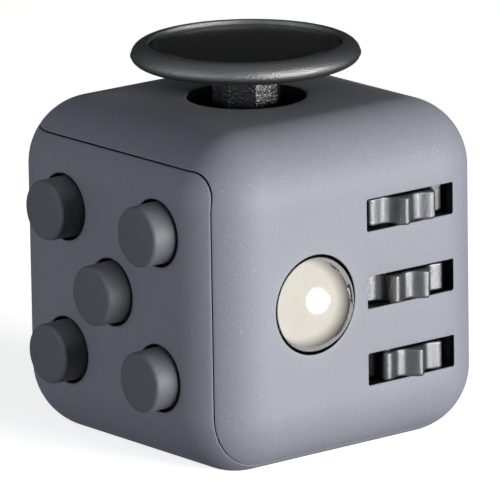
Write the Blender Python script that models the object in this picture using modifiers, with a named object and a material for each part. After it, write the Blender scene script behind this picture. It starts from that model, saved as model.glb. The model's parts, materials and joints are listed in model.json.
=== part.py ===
"""Fidget cube: a hand toy with six faces to press, roll, tilt, spin, flip and rub.

Frame: metres, +Z up, origin under the middle of the cube, on the surface it stands on.
-Y five buttons, +X three gears and a ball, +Z joystick, -X dial, +Y rocker switch, -Z thumb dish.
Each face has its own empty: local +Z points out of the face and z = 0 is the face itself, so a
piece behind the face has negative heights there.
"""

import math

import bmesh
import bpy
from mathutils import Matrix, Vector

MM = 0.001

# ---------------------------------------------------------------- clearances
CLEAR = 0.3 * MM           # between two pieces that touch or run on each other
SINK = 0.5 * MM            # how far a post or rib is let into what it grows from
PAST = 1.0 * MM            # how far a cutter runs past the face it opens

# ---------------------------------------------------------------- case
EDGE = 33.0 * MM           # outside, along X and Y
HEIGHT = 32.2 * MM         # outside, along Z
WALL = 2.0 * MM
EDGE_RADIUS = 6.5 * MM     # rounding of the outside edges
SEAM_PAST_WALL = 0.9 * MM
SEAM_INSET = WALL + SEAM_PAST_WALL     # joint line, in from the faces it runs beside
SEAM_RADIUS = 2.6 * MM     # rounding of the joint line's corners
SEAM_GAP = CLEAR
EDGE_SEGMENTS = 4

# ---------------------------------------------------------------- thumb dish, -Z
DISH_RADIUS = 9.5 * MM
DISH_DEPTH = 2.2 * MM
DISH_RIM = 1.4 * MM        # flat left round the dish on the inside
DISH_OVERRUN = 1.04        # how far the bowl's cutter goes past the rim, as a share

# ---------------------------------------------------------------- buttons, -Y
BUTTON_RADIUS = 2.9 * MM
BUTTON_REACH = 9.8 * MM    # outer side of the corner buttons, sideways and up
BUTTON_PITCH = BUTTON_REACH - BUTTON_RADIUS    # from the middle button to the others
BUTTON_PROUD = 2.38 * MM
BUTTON_TRAVEL = 1.2 * MM
BUTTON_EDGE = 0.3 * MM
FLANGE_MARGIN = 0.7 * MM   # how much wider the flange is than the button
FLANGE_THICK = 0.8 * MM
DOME_HEIGHT = 2 * BUTTON_TRAVEL    # a dome folds to half its height
DOME_RADIUS = 2.9 * MM
DOME_TOP_RADIUS = 1.4 * MM
DOME_SKIN = 0.5 * MM
SNAP_RADIUS = 1.5 * MM
SNAP_CROWN = 0.35 * MM
SNAP_THICK = 0.2 * MM
PLATE_THICK = 1.2 * MM
PLATE_MARGIN = 0.6 * MM    # plate past the outer domes
PLATE_SCREW_PAST = 2.3 * MM    # its screws past the rows of buttons
PLATE_NOTCH = 0.4 * MM     # plate clear of the ball's cup, round it
PLATE_NOTCH_BEHIND = 1.2 * MM

# ---------------------------------------------------------------- gears, +X
GEAR_TEETH = 10
POINTS_PER_TOOTH = 10
GEAR_RADIUS = 5.75 * MM
TOOTH_DEPTH = 1.05 * MM
TOOTH_POWER = 1.5          # over 1, the teeth are narrower than the hollows
GEAR_THICK = 2.65 * MM
GEAR_PITCH = 7.35 * MM     # from gear to gear along the axle
GEAR_PROUD = 1.3 * MM
GEAR_ACROSS = 6.05 * MM    # axle's place along +Y
GEAR_PHASES = {"lower": 1.5, "middle": 11.0, "upper": 22.0}
SLOT_MARGIN = 0.5 * MM     # slot past the wheel on each side, at the inner side of its lip
SLOT_LIP = 1.2 * MM        # behind the lip the slot is wider
SLOT_HEIGHT = 3.05 * MM
AXLE_RADIUS = 1.0 * MM
COMB_THICK = 1.2 * MM      # end arms and spine of the gear frame
COMB_BEHIND = 0.35 * MM    # spine clear of the wheels
COMB_OUTER = 0.4 * MM      # arms clear of the inside of the case
COMB_PAST_AXLE = 2.2 * MM  # arms reach this far past the axle, inwards
COMB_REACH = 3.6 * MM      # arm tips' place along +Y
COMB_EAR_UP = 4.1 * MM

# ---------------------------------------------------------------- ball, +X
BALL_RADIUS = 5.2 * MM
BALL_PROUD = 2.5 * MM
BALL_SINK = BALL_RADIUS - BALL_PROUD   # its centre, in from the face
BALL_ACROSS = -5.45 * MM
CUP_RADIUS = 4.8 * MM
CUP_RIM = 0.7 * MM
CUP_FLOOR = 0.85 * MM
CUP_STEM_RADIUS = 1.5 * MM
BALL_TRAVEL = 0.6 * MM
BRACKET_DEPTH = 12.1 * MM  # outer side of the ball bracket, in from the +X face
BRACKET_THICK = 1.2 * MM
BRACKET_HALF = 2.8 * MM
BRACKET_EAR_UP = 7.0 * MM

# ---------------------------------------------------------------- joystick, +Z
CAP_RADIUS = 10.8 * MM
CAP_UNDER = 3.15 * MM      # underside above the cube
CAP_UPPER_ROUND = 1.2 * MM
CAP_LOWER_ROUND = 0.9 * MM
RECESS_RADIUS = 9.0 * MM
RECESS_DEPTH = 0.9 * MM
RECESS_LIP = 0.2 * MM
INSERT_THICK = 0.4 * MM
POST_FLATS = 6.15 * MM     # octagonal post, across its flats
POST_BOTTOM = 3.1 * MM     # below the face
TOP_OPENING_RADIUS = 5.65 * MM
PIVOT_DEPTH = 5.2 * MM
SHAFT_RADIUS = 2.4 * MM
SPIGOT_RADIUS = 1.5 * MM
SPIGOT_TOP = 0.2 * MM
SHAFT_BOTTOM = 7.2 * MM
RING_INNER = 3.4 * MM
RING_WALL = 1.2 * MM
RING_HALF_HEIGHT = 1.1 * MM
TRUNNION_RADIUS = 0.5 * MM
SOCKET_INNER = 5.0 * MM
SOCKET_WALL = 1.7 * MM
SOCKET_FLOOR_DEPTH = 7.4 * MM
SOCKET_FLOOR = 0.8 * MM
TOWER_INNER = 2.6 * MM
TOWER_WALL = 1.1 * MM
TOWER_BOTTOM = 11.8 * MM
SOCKET_EAR_OUT = 9.0 * MM
SOCKET_EAR_DEPTH = 3.8 * MM

# ---------------------------------------------------------------- dial, -X
DIAL_RADIUS = 7.5 * MM
DIAL_PROUD = 1.3 * MM
DIAL_EDGE = 0.4 * MM
DIAL_PLAY = 0.2 * MM       # shaft end past the inside of the wall
NUB_HEIGHT = BALL_PROUD - DIAL_PROUD   # the nub stands as proud as the ball opposite
NUB_RADIUS = 1.7 * MM
NUB_OUT = 4.7 * MM
DIAL_RECESS = 0.8 * MM
DIAL_SHAFT_RADIUS = 1.9 * MM
RETAINER_RADIUS = 3.5 * MM
RETAINER_THICK = 0.8 * MM

# ---------------------------------------------------------------- rocker switch, +Y
ROCKER_HALF_WIDTH = 3.9 * MM
ROCKER_RADIUS = 7.8 * MM   # of its end faces, round the pin
ROCKER_TILT = math.radians(9.0)
ROCKER_PIVOT_DEPTH = 3.6 * MM
ROCKER_PROUD = BUTTON_PROUD            # its raised end stands as proud as the buttons opposite
ROCKER_SKIRT = 2.0 * MM    # end faces run down to this height above the pin
ROCKER_HUB = 1.6 * MM
ROCKER_PIN_RADIUS = 0.7 * MM
HOUSING_WALL = 1.2 * MM
HOUSING_FLOOR_DEPTH = 6.7 * MM
HOUSING_EAR_DEPTH = 3.2 * MM
PLUNGER_RADIUS = 1.4 * MM
PLUNGER_LENGTH = 2.4 * MM
PLUNGER_TUBE_END = 12.4 * MM
PLUNGER_TUBE_WALL = 0.85 * MM
PLUNGER_NOSE = 0.4 * MM

# ---------------------------------------------------------------- springs and screws
WIRE_RADIUS = 0.25 * MM
SCREW_RADIUS = 0.55 * MM
SCREW_TIP_RADIUS = 0.22 * MM
SCREW_HEAD_RADIUS = 1.3 * MM
SCREW_HEAD_TOP_RADIUS = 0.98 * MM
SCREW_HEAD = 0.75 * MM
SCREW_HOLD = 2.6 * MM      # how far the thread goes past the piece it holds
SCREW_SHORT_HOLD = 2.0 * MM    # the same, in the shorter posts
BOSS_RADIUS = 1.5 * MM
EAR_RADIUS = 1.9 * MM
EAR_THICK = 1.2 * MM

# ---------------------------------------------------------------- colours, sRGB
COLOURS = {
    "case": ("#5A5C65", 0.55, 0.0),
    "key": ("#3E4148", 0.6, 0.0),
    "dark": ("#1F2125", 0.35, 0.0),
    "gear": ("#5E6067", 0.4, 0.3),
    "steel": ("#D8D6D2", 0.08, 1.0),
    "spring": ("#A9A8A4", 0.3, 1.0),
    "frame": ("#2A2B2F", 0.6, 0.0),
    "silicone": ("#C9C9C4", 0.7, 0.0),
}


def clear_scene():
    for thing in list(bpy.data.objects):
        bpy.data.objects.remove(thing)


def make_collection(name):
    collection = bpy.data.collections.new(name)
    bpy.context.scene.collection.children.link(collection)
    return collection


def linear(code):
    """Linear colour of an sRGB hex value."""
    parts = [int(code[i:i + 2], 16) / 255 for i in (1, 3, 5)]
    return [c / 12.92 if c <= 0.04045 else ((c + 0.055) / 1.055) ** 2.4 for c in parts]


def finish_of(name, kind):
    """A material of the piece's own, in one of the object's finishes."""
    code, roughness, metallic = COLOURS[kind]
    material = bpy.data.materials.new(name)
    material.use_nodes = True
    shader = material.node_tree.nodes["Principled BSDF"]
    shader.inputs["Base Color"].default_value = linear(code) + [1.0]
    shader.inputs["Roughness"].default_value = roughness
    shader.inputs["Metallic"].default_value = metallic
    return material


clear_scene()
PARTS = make_collection("fidget_cube")
CUTTERS = make_collection("cutters")


# ---------------------------------------------------------------- helpers
def face_frame(name, origin, along, up):
    """An empty whose local X, Y and Z run along the face, up the face and out of it."""
    frame = bpy.data.objects.new(name, None)
    out = along.cross(up)
    turn = Matrix((along, up, out)).transposed().to_4x4()
    frame.matrix_world = Matrix.Translation(origin) @ turn
    frame.empty_display_size = 5 * MM
    PARTS.objects.link(frame)
    return frame


def place(name, data, parent, at, kind):
    """Link an object; kind is its finish, or None for a cutter."""
    thing = bpy.data.objects.new(name, data)
    if kind is None:
        CUTTERS.objects.link(thing)
        thing.hide_render = True
        thing.display_type = "WIRE"
    else:
        PARTS.objects.link(thing)
        data.materials.append(finish_of(name, kind))
    thing.parent = parent
    thing.location = at
    return thing


def mesh_from(name, bm, smooth=False):
    mesh = bpy.data.meshes.new(name)
    bm.to_mesh(mesh)
    bm.free()
    if smooth:
        mesh.shade_smooth()
        mesh.set_sharp_from_angle(angle=math.radians(35))
    return mesh


def block(name, low, high, parent=None, kind=None, at=(0, 0, 0)):
    """A box between two corners."""
    bm = bmesh.new()
    bmesh.ops.create_cube(bm, size=1.0)
    for vert in bm.verts:
        vert.co = Vector([(a + b) / 2 + c * (b - a) for a, b, c in zip(low, high, vert.co)])
    return place(name, mesh_from(name, bm), parent, at, kind)


def round_edges(thing, radius, segments):
    bevel = thing.modifiers.new("rounding", "BEVEL")
    bevel.width = radius
    bevel.segments = segments
    bevel.limit_method = "ANGLE"
    return thing


def peg(name, radius, low, high, places=((0, 0),), parent=None, kind=None, sides=24, turn=0.0):
    """One or more upright round pegs from height low to height high."""
    bm = bmesh.new()
    for x, y in places:
        where = Matrix.Translation((x, y, (low + high) / 2)) @ Matrix.Rotation(turn, 4, "Z")
        bmesh.ops.create_cone(
            bm, cap_ends=True, segments=sides, radius1=radius, radius2=radius,
            depth=high - low, matrix=where,
        )
    return place(name, mesh_from(name, bm, smooth=True), parent, (0, 0, 0), kind)


def crossbar(name, radius, axis, reach, centre, parent=None, kind=None, sides=16):
    """A round bar along local X or Y, from -reach to +reach of its centre."""
    bm = bmesh.new()
    turn = Matrix.Rotation(math.pi / 2, 4, "Y" if axis == "X" else "X")
    bmesh.ops.create_cone(
        bm, cap_ends=True, segments=sides, radius1=radius, radius2=radius,
        depth=2 * reach, matrix=Matrix.Translation(centre) @ turn,
    )
    return place(name, mesh_from(name, bm, smooth=True), parent, (0, 0, 0), kind)


def turned(name, profile, parent=None, kind=None, at=(0, 0, 0), steps=32, closed=False):
    """A profile of (radius, height) points, run down its outer side, turned about local Z."""
    bm = bmesh.new()
    verts = [bm.verts.new((r, 0, h)) for r, h in profile]
    for one, other in zip(verts, verts[1:]):
        bm.edges.new((one, other))
    if closed:
        bm.edges.new((verts[-1], verts[0]))
    thing = place(name, mesh_from(name, bm), parent, at, kind)
    screw = thing.modifiers.new("turning", "SCREW")
    screw.axis = "Z"
    screw.steps = steps
    screw.render_steps = steps
    screw.use_merge_vertices = True
    screw.merge_threshold = 0.01 * MM
    screw.use_smooth_shade = True
    return thing


def combine(target, tool, how="DIFFERENCE"):
    change = target.modifiers.new(tool.name, "BOOLEAN")
    change.operation = how
    change.solver = "EXACT"
    change.object = tool
    return target


def arc(centre_r, centre_h, radius_r, radius_h, start, end, count):
    """Points of an elliptical arc in a turned profile; angles from the +r axis, in degrees."""
    points = []
    for i in range(count + 1):
        a = math.radians(start + (end - start) * i / count)
        points.append((centre_r + radius_r * math.cos(a), centre_h + radius_h * math.sin(a)))
    return points


def coil(name, mean_radius, low, high, turns, parent, at=(0, 0, 0), points_per_turn=10):
    """A compression spring of round wire between two heights."""
    curve = bpy.data.curves.new(name, "CURVE")
    curve.dimensions = "3D"
    curve.bevel_depth = WIRE_RADIUS
    curve.bevel_resolution = 1
    curve.use_fill_caps = True
    count = turns * points_per_turn
    spline = curve.splines.new("POLY")
    spline.points.add(count)
    bottom = low + WIRE_RADIUS
    rise = high - low - 2 * WIRE_RADIUS
    for i, point in enumerate(spline.points):
        a = 2 * math.pi * i / points_per_turn
        height = bottom + rise * i / count
        point.co = (mean_radius * math.cos(a), mean_radius * math.sin(a), height, 1)
    return place(name, curve, parent, at, "spring")


def screw(name, parent, across, up, seat, reach=SCREW_HOLD + EAR_THICK):
    """A pan-head screw; seat is the height of the face its head holds, thread pointing out."""
    head_top = seat - CLEAR
    tip = head_top + CLEAR + reach
    profile = [
        (0, tip),
        (SCREW_TIP_RADIUS, tip),
        (SCREW_RADIUS, tip - SCREW_RADIUS),
        (SCREW_RADIUS, head_top),
        (SCREW_HEAD_RADIUS, head_top),
        (SCREW_HEAD_RADIUS, head_top - SCREW_HEAD / 2),
        (SCREW_HEAD_TOP_RADIUS, head_top - SCREW_HEAD),
        (0, head_top - SCREW_HEAD),
    ]
    return turned(name, profile, parent, "spring", (across, up, 0), steps=10)


HOLE_RADIUS = SCREW_RADIUS + CLEAR


def bosses(name, case, parent, places, face_of_ear):
    """Screw bosses from the wall to just short of the ears they carry, with their pilot holes."""
    end = face_of_ear + CLEAR
    posts = peg(name + "_posts", BOSS_RADIUS, end, -WALL + SINK, places, parent, sides=16)
    combine(case, posts, "UNION")
    top = face_of_ear + SCREW_HOLD + CLEAR
    holes = peg(name + "_pilots", HOLE_RADIUS, end - PAST, top, places, parent, sides=12)
    combine(case, holes)


half = EDGE / 2
middle = HEIGHT / 2
X, Y, Z = Vector((1, 0, 0)), Vector((0, 1, 0)), Vector((0, 0, 1))
FRONT = face_frame("face_buttons", (0, -half, middle), X, Z)
RIGHT = face_frame("face_gears", (half, 0, middle), Y, Z)
BACK = face_frame("face_rocker", (0, half, middle), -X, Z)
LEFT = face_frame("face_dial", (-half, 0, middle), -Y, Z)
TOP = face_frame("face_joystick", (0, 0, HEIGHT), X, Y)


# ---------------------------------------------------------------- case halves
def rounded_box(name, inset, kind):
    """The cube's outside, or with an inset the surface that far inside it."""
    edge = half - inset
    box = block(name, (-edge, -edge, inset), (edge, edge, HEIGHT - inset), kind=kind)
    return round_edges(box, EDGE_RADIUS - inset, EDGE_SEGMENTS)


def corner_block(name, inset):
    """The corner of space that the lower half fills, out to the joint line."""
    far = EDGE
    box = block(name, (-far, -far, -far), (half - inset, half - inset, HEIGHT - inset))
    return round_edges(box, SEAM_RADIUS, 3)


def case_halves():
    cavity = rounded_box("cavity", WALL, None)
    lower = rounded_box("shell_lower", 0, "case")
    combine(lower, cavity)
    combine(lower, corner_block("corner_of_lower_half", SEAM_INSET), "INTERSECT")
    upper = rounded_box("shell_upper", 0, "case")
    combine(upper, cavity)
    combine(upper, corner_block("corner_with_seam_gap", SEAM_INSET - SEAM_GAP))
    return lower, upper


shell_lower, shell_upper = case_halves()
ROOM = rounded_box("room_inside", WALL + CLEAR, None)    # what a piece inside the case may fill


# ---------------------------------------------------------------- thumb dish
def thumb_dish(case):
    pad_radius = DISH_RADIUS + DISH_RIM
    pad = peg("dish_pad", pad_radius, WALL - SINK, WALL + DISH_DEPTH, sides=32)
    combine(case, pad, "UNION")
    sphere = (DISH_RADIUS ** 2 + DISH_DEPTH ** 2) / (2 * DISH_DEPTH)
    centre = DISH_DEPTH - sphere
    reach = math.degrees(math.asin(DISH_RADIUS / sphere)) * DISH_OVERRUN
    bowl = arc(0, centre, sphere, sphere, 90, 90 - reach, 8)
    floor = -PAST
    profile = bowl + [(bowl[-1][0], floor), (0, floor)]
    combine(case, turned("dish_bowl", profile, steps=32))


thumb_dish(shell_lower)


# ---------------------------------------------------------------- buttons
BUTTONS = {
    "upper_left": (-1, 1),
    "upper_right": (1, 1),
    "middle": (0, 0),
    "lower_left": (-1, -1),
    "lower_right": (1, -1),
}
CLICKING = ("upper_left", "middle", "lower_right")
FLANGE_RADIUS = BUTTON_RADIUS + FLANGE_MARGIN
FLANGE_BACK = -WALL - CLEAR - FLANGE_THICK
BUTTON_BACK = FLANGE_BACK - CLEAR
DOME_TOP = BUTTON_BACK - CLEAR
DOME_BASE = DOME_TOP - DOME_HEIGHT
PLATE_FACE = DOME_BASE - CLEAR
PLATE_BACK = PLATE_FACE - PLATE_THICK


def button(name, across, up):
    front = BUTTON_PROUD
    profile = [
        (0, front),
        (BUTTON_RADIUS - BUTTON_EDGE, front),
        (BUTTON_RADIUS, front - BUTTON_EDGE),
        (BUTTON_RADIUS, -WALL - CLEAR),
        (FLANGE_RADIUS, -WALL - CLEAR),
        (FLANGE_RADIUS, FLANGE_BACK),
        (DOME_TOP_RADIUS, FLANGE_BACK),
        (DOME_TOP_RADIUS, BUTTON_BACK),
        (0, BUTTON_BACK),
    ]
    return turned(name, profile, FRONT, "key", (across, up, 0), steps=24)


def dome(name, across, up):
    """A silicone spring cap, open towards the plate."""
    lip = DOME_RADIUS
    inside = DOME_RADIUS - 2 * DOME_SKIN
    roof = DOME_HEIGHT / 2
    profile = [
        (0, DOME_HEIGHT),
        (DOME_TOP_RADIUS, DOME_HEIGHT),
        (DOME_TOP_RADIUS + DOME_SKIN, roof),
        (lip, DOME_SKIN),
        (lip, 0),
        (inside, 0),
        (SNAP_RADIUS + CLEAR, roof - DOME_SKIN),
        (0, roof),
    ]
    return turned(name, profile, FRONT, "silicone", (across, up, DOME_BASE), steps=14)


def snap_disc(name, across, up):
    """A thin sprung metal disc that makes the click, dished towards the button."""
    outer = arc(0, 0, SNAP_RADIUS, SNAP_CROWN + SNAP_THICK, 90, 0, 3)
    inner = arc(0, 0, SNAP_RADIUS - SNAP_THICK, SNAP_CROWN, 0, 90, 3)
    return turned(name, outer + inner, FRONT, "spring", (across, up, DOME_BASE), steps=12)


def button_plate():
    reach = BUTTON_PITCH + DOME_RADIUS + PLATE_MARGIN
    plate = block(
        "button_plate", (-reach, -reach, PLATE_BACK), (reach, reach, PLATE_FACE), FRONT, "frame"
    )
    cup_back = half - BALL_SINK - BALL_RADIUS - CUP_FLOOR
    notch = crossbar(
        "plate_notch", CUP_RADIUS + PLATE_NOTCH, "X", EDGE,
        (cup_back - PLATE_NOTCH_BEHIND + EDGE, 0, -half - BALL_ACROSS), FRONT, sides=32,
    )
    combine(plate, notch)
    screw_up = BUTTON_PITCH + PLATE_SCREW_PAST
    places = [(0, screw_up), (0, -screw_up)]
    combine(plate, peg("plate_screw_holes", HOLE_RADIUS, PLATE_BACK - PAST, PLATE_FACE + PAST,
                       places, FRONT, sides=12))
    bosses("plate", shell_lower, FRONT, places, PLATE_FACE)
    for name, (across, up) in zip(("top", "bottom"), places):
        screw("plate_screw_" + name, FRONT, across, up, PLATE_BACK, PLATE_THICK + SCREW_HOLD)


def button_face():
    places = []
    for name, (side, row) in BUTTONS.items():
        across, up = side * BUTTON_PITCH, row * BUTTON_PITCH
        places.append((across, up))
        button("button_" + name, across, up)
        dome("button_dome_" + name, across, up)
        if name in CLICKING:
            snap_disc("snap_disc_" + name, across, up)
    button_plate()
    holes = peg("button_holes", BUTTON_RADIUS + CLEAR, -WALL - PAST, PAST, places, FRONT, sides=24)
    combine(shell_lower, holes)


button_face()


# ---------------------------------------------------------------- gears
AXLE_DEPTH = GEAR_RADIUS - GEAR_PROUD
AXLE_X = half - AXLE_DEPTH


def gear_wheel(name, height, phase):
    """A wheel with round teeth: its rim is a wave of one tooth per period."""
    bm = bmesh.new()
    points = GEAR_TEETH * POINTS_PER_TOOTH
    rims = []
    for z in (-GEAR_THICK / 2, GEAR_THICK / 2):
        rim = []
        for i in range(points):
            a = 2 * math.pi * i / points
            wave = (1 + math.cos(GEAR_TEETH * a)) / 2
            r = GEAR_RADIUS - TOOTH_DEPTH * (1 - wave ** TOOTH_POWER)
            rim.append(bm.verts.new((r * math.cos(a), r * math.sin(a), z)))
        rims.append(rim)
    bm.faces.new(list(reversed(rims[0])))
    bm.faces.new(rims[1])
    for i in range(points):
        j = (i + 1) % points
        bm.faces.new((rims[0][i], rims[0][j], rims[1][j], rims[1][i]))
    wheel = place(name, mesh_from(name, bm), None, (AXLE_X, GEAR_ACROSS, height), "gear")
    wheel.rotation_euler.z = math.radians(phase)
    bore = peg(name + "_bore", AXLE_RADIUS + CLEAR, -GEAR_THICK, GEAR_THICK, parent=wheel, sides=16)
    return combine(wheel, bore)


def gear_frame():
    """A comb whose arms hold the axle and keep the wheels at their slots."""
    room = GEAR_THICK / 2 + CLEAR
    top_arm = middle + GEAR_PITCH + room
    low, high = HEIGHT - top_arm - COMB_THICK, top_arm + COMB_THICK
    spine_in = GEAR_ACROSS + GEAR_RADIUS + COMB_BEHIND
    spine_out = spine_in + COMB_THICK
    inner = AXLE_X - COMB_PAST_AXLE
    outer = half - WALL - COMB_OUTER
    comb = block("gear_frame", (inner, COMB_REACH, low), (outer, spine_out, high), kind="frame")

    # The edge in the case's rounded corner is cut off, to fit inside that rounding.
    to_outer = outer - (half - EDGE_RADIUS)
    to_back = spine_out - (half - EDGE_RADIUS)
    room_radius = EDGE_RADIUS - WALL - CLEAR
    corner = to_back - math.sqrt(room_radius ** 2 - to_outer ** 2) + 2 * CLEAR
    bm = bmesh.new()
    bm.from_mesh(comb.data)
    edges = [e for e in bm.edges if all(v.co.x > AXLE_X and v.co.y > spine_in for v in e.verts)]
    bmesh.ops.bevel(bm, geom=edges, offset=corner, segments=1, affect="EDGES")
    bm.to_mesh(comb.data)
    bm.free()
    for name, side in (("lower", -1), ("middle", 0), ("upper", 1)):
        centre = middle + side * GEAR_PITCH
        gap = block(
            "comb_gap_" + name,
            (inner - PAST, COMB_REACH - PAST, centre - room),
            (half, spine_in, centre + room),
        )
        combine(comb, gap)
    ear_x = inner - SCREW_HEAD_RADIUS - CLEAR
    places = [(-ear_x, COMB_EAR_UP), (-ear_x, -COMB_EAR_UP)]
    ear_face = spine_out - half
    ears = peg("comb_ears", EAR_RADIUS, ear_face - COMB_THICK, ear_face, places, BACK, sides=16)
    combine(comb, ears, "UNION")
    holes = peg("comb_holes", HOLE_RADIUS, ear_face - COMB_THICK - PAST, ear_face + PAST,
                places, BACK, sides=12)
    combine(comb, holes)
    axle_hole = peg("comb_axle_hole", AXLE_RADIUS + CLEAR, -PAST, HEIGHT,
                    [(AXLE_X, GEAR_ACROSS)], sides=16)
    combine(comb, axle_hole)
    bosses("comb", shell_upper, BACK, places, ear_face)
    for name, (across, up) in zip(("upper", "lower"), places):
        screw("gear_frame_screw_" + name, BACK, across, up, ear_face - COMB_THICK,
              COMB_THICK + SCREW_SHORT_HOLD)
    return low, high


def gear_face():
    slot_half = math.sqrt(GEAR_RADIUS ** 2 - (AXLE_DEPTH - SLOT_LIP) ** 2) + SLOT_MARGIN
    well_half = math.sqrt(GEAR_RADIUS ** 2 - (AXLE_DEPTH - WALL) ** 2) + CLEAR
    heights = {"lower": -GEAR_PITCH, "middle": 0.0, "upper": GEAR_PITCH}
    for name, up in heights.items():
        gear_wheel("gear_" + name, middle + up, GEAR_PHASES[name])
        slot = block(
            "slot_" + name,
            (GEAR_ACROSS - slot_half, up - SLOT_HEIGHT / 2, -WALL - PAST),
            (GEAR_ACROSS + slot_half, up + SLOT_HEIGHT / 2, PAST),
            RIGHT,
        )
        combine(shell_upper, slot)
        well = block(
            "slot_well_" + name,
            (GEAR_ACROSS - well_half, up - SLOT_HEIGHT / 2, -WALL - PAST),
            (GEAR_ACROSS + well_half, up + SLOT_HEIGHT / 2, -SLOT_LIP),
            RIGHT,
        )
        combine(shell_upper, well)
    low, high = gear_frame()
    peg("gear_axle", AXLE_RADIUS, low, high, [(AXLE_X, GEAR_ACROSS)], kind="spring", sides=16)


gear_face()


# ---------------------------------------------------------------- ball
def ball_face():
    bm = bmesh.new()
    bmesh.ops.create_uvsphere(bm, u_segments=20, v_segments=12, radius=BALL_RADIUS)
    place("ball", mesh_from("ball", bm, smooth=True), RIGHT, (BALL_ACROSS, 0, -BALL_SINK), "steel")

    bm = bmesh.new()
    bmesh.ops.create_uvsphere(bm, u_segments=20, v_segments=12, radius=BALL_RADIUS + CLEAR)
    hollow = place("ball_hollow", mesh_from("ball_hollow", bm), RIGHT,
                   (BALL_ACROSS, 0, -BALL_SINK), None)
    combine(shell_upper, hollow)

    # The cup backs the ball. Its rim lies where the hollow leaves a wall of CUP_RIM.
    hollow_radius = BALL_RADIUS + CLEAR
    rim = -BALL_SINK - math.sqrt(hollow_radius ** 2 - (CUP_RADIUS - CUP_RIM) ** 2)
    back = -BALL_SINK - hollow_radius - CUP_FLOOR
    bracket_face = -BRACKET_DEPTH
    bracket_back = bracket_face - BRACKET_THICK
    stem_end = bracket_back - BALL_TRAVEL
    profile = [(0, rim), (CUP_RADIUS, rim), (CUP_RADIUS, back), (CUP_STEM_RADIUS, back),
               (CUP_STEM_RADIUS, stem_end), (0, stem_end)]
    cup = turned("ball_cup", profile, RIGHT, "frame", (BALL_ACROSS, 0, 0), steps=24)
    combine(cup, hollow)
    spring_radius = CUP_STEM_RADIUS + WIRE_RADIUS + CLEAR
    coil("ball_spring", spring_radius, bracket_face + CLEAR, back - CLEAR, 3, RIGHT,
         (BALL_ACROSS, 0, 0))

    places = [(BALL_ACROSS, BRACKET_EAR_UP), (BALL_ACROSS, -BRACKET_EAR_UP)]
    reach = BRACKET_EAR_UP + EAR_RADIUS
    bracket = block(
        "ball_bracket",
        (BALL_ACROSS - EAR_RADIUS, -reach, bracket_back),
        (BALL_ACROSS + EAR_RADIUS, reach, bracket_face),
        RIGHT, "frame",
    )
    middle_boss = peg("bracket_middle", BRACKET_HALF, bracket_back, bracket_face,
                      [(BALL_ACROSS, 0)], RIGHT, sides=24)
    combine(bracket, middle_boss, "UNION")
    guide = peg("bracket_guide", CUP_STEM_RADIUS + CLEAR, bracket_back - PAST,
                bracket_face + PAST, [(BALL_ACROSS, 0)], RIGHT, sides=24)
    combine(bracket, guide)
    holes = peg("bracket_holes", HOLE_RADIUS, bracket_back - PAST, bracket_face + PAST,
                places, RIGHT, sides=12)
    combine(bracket, holes)
    bosses("bracket", shell_upper, RIGHT, places, bracket_face)
    for name, (across, up) in zip(("upper", "lower"), places):
        screw("ball_bracket_screw_" + name, RIGHT, across, up, bracket_back,
              BRACKET_THICK + SCREW_HOLD)


ball_face()


# ---------------------------------------------------------------- joystick
CAP_TOP = CAP_UNDER + CAP_LOWER_ROUND + CAP_UPPER_ROUND
RECESS_FLOOR = CAP_TOP - RECESS_DEPTH


def joystick_cap():
    """A flat round cap moulded in one with an octagonal post."""
    equator = CAP_UNDER + CAP_LOWER_ROUND
    side = CAP_RADIUS - CAP_UPPER_ROUND
    profile = [(0, RECESS_FLOOR), (RECESS_RADIUS, RECESS_FLOOR), (RECESS_RADIUS, CAP_TOP - RECESS_LIP),
               (RECESS_RADIUS + RECESS_LIP, CAP_TOP)]
    profile += arc(side, equator, CAP_UPPER_ROUND, CAP_UPPER_ROUND, 90, 0, 4)
    profile += arc(side, equator, CAP_UPPER_ROUND, CAP_LOWER_ROUND, 0, -90, 3)[1:]
    profile += [(0, CAP_UNDER)]
    cap = turned("joystick_cap", profile, TOP, "key", steps=32)
    corner = POST_FLATS / 2 / math.cos(math.pi / 8)
    post = peg("cap_post", corner, -POST_BOTTOM, CAP_UNDER + SINK, parent=TOP, sides=8,
               turn=math.pi / 8)
    combine(cap, post, "UNION")
    bore = peg("cap_bore", SPIGOT_RADIUS + CLEAR, -POST_BOTTOM - PAST, SPIGOT_TOP + CLEAR,
               parent=TOP, sides=16)
    combine(cap, bore)
    insert_low = RECESS_FLOOR + CLEAR
    peg("joystick_insert", RECESS_RADIUS - CLEAR, insert_low, insert_low + INSERT_THICK,
        parent=TOP, kind="dark", sides=32)


def joystick_shaft():
    """The shaft with its cross pins: its upper end goes up into the post."""
    shoulder = -POST_BOTTOM - CLEAR
    profile = [(0, SPIGOT_TOP), (SPIGOT_RADIUS, SPIGOT_TOP), (SPIGOT_RADIUS, shoulder),
               (SHAFT_RADIUS, shoulder), (SHAFT_RADIUS, -SHAFT_BOTTOM), (0, -SHAFT_BOTTOM)]
    shaft = turned("joystick_shaft", profile, TOP, "frame", steps=24)
    pins = crossbar("shaft_pins", TRUNNION_RADIUS, "X", RING_INNER + RING_WALL - CLEAR,
                    (0, 0, -PIVOT_DEPTH), TOP, sides=12)
    combine(shaft, pins, "UNION")


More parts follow.
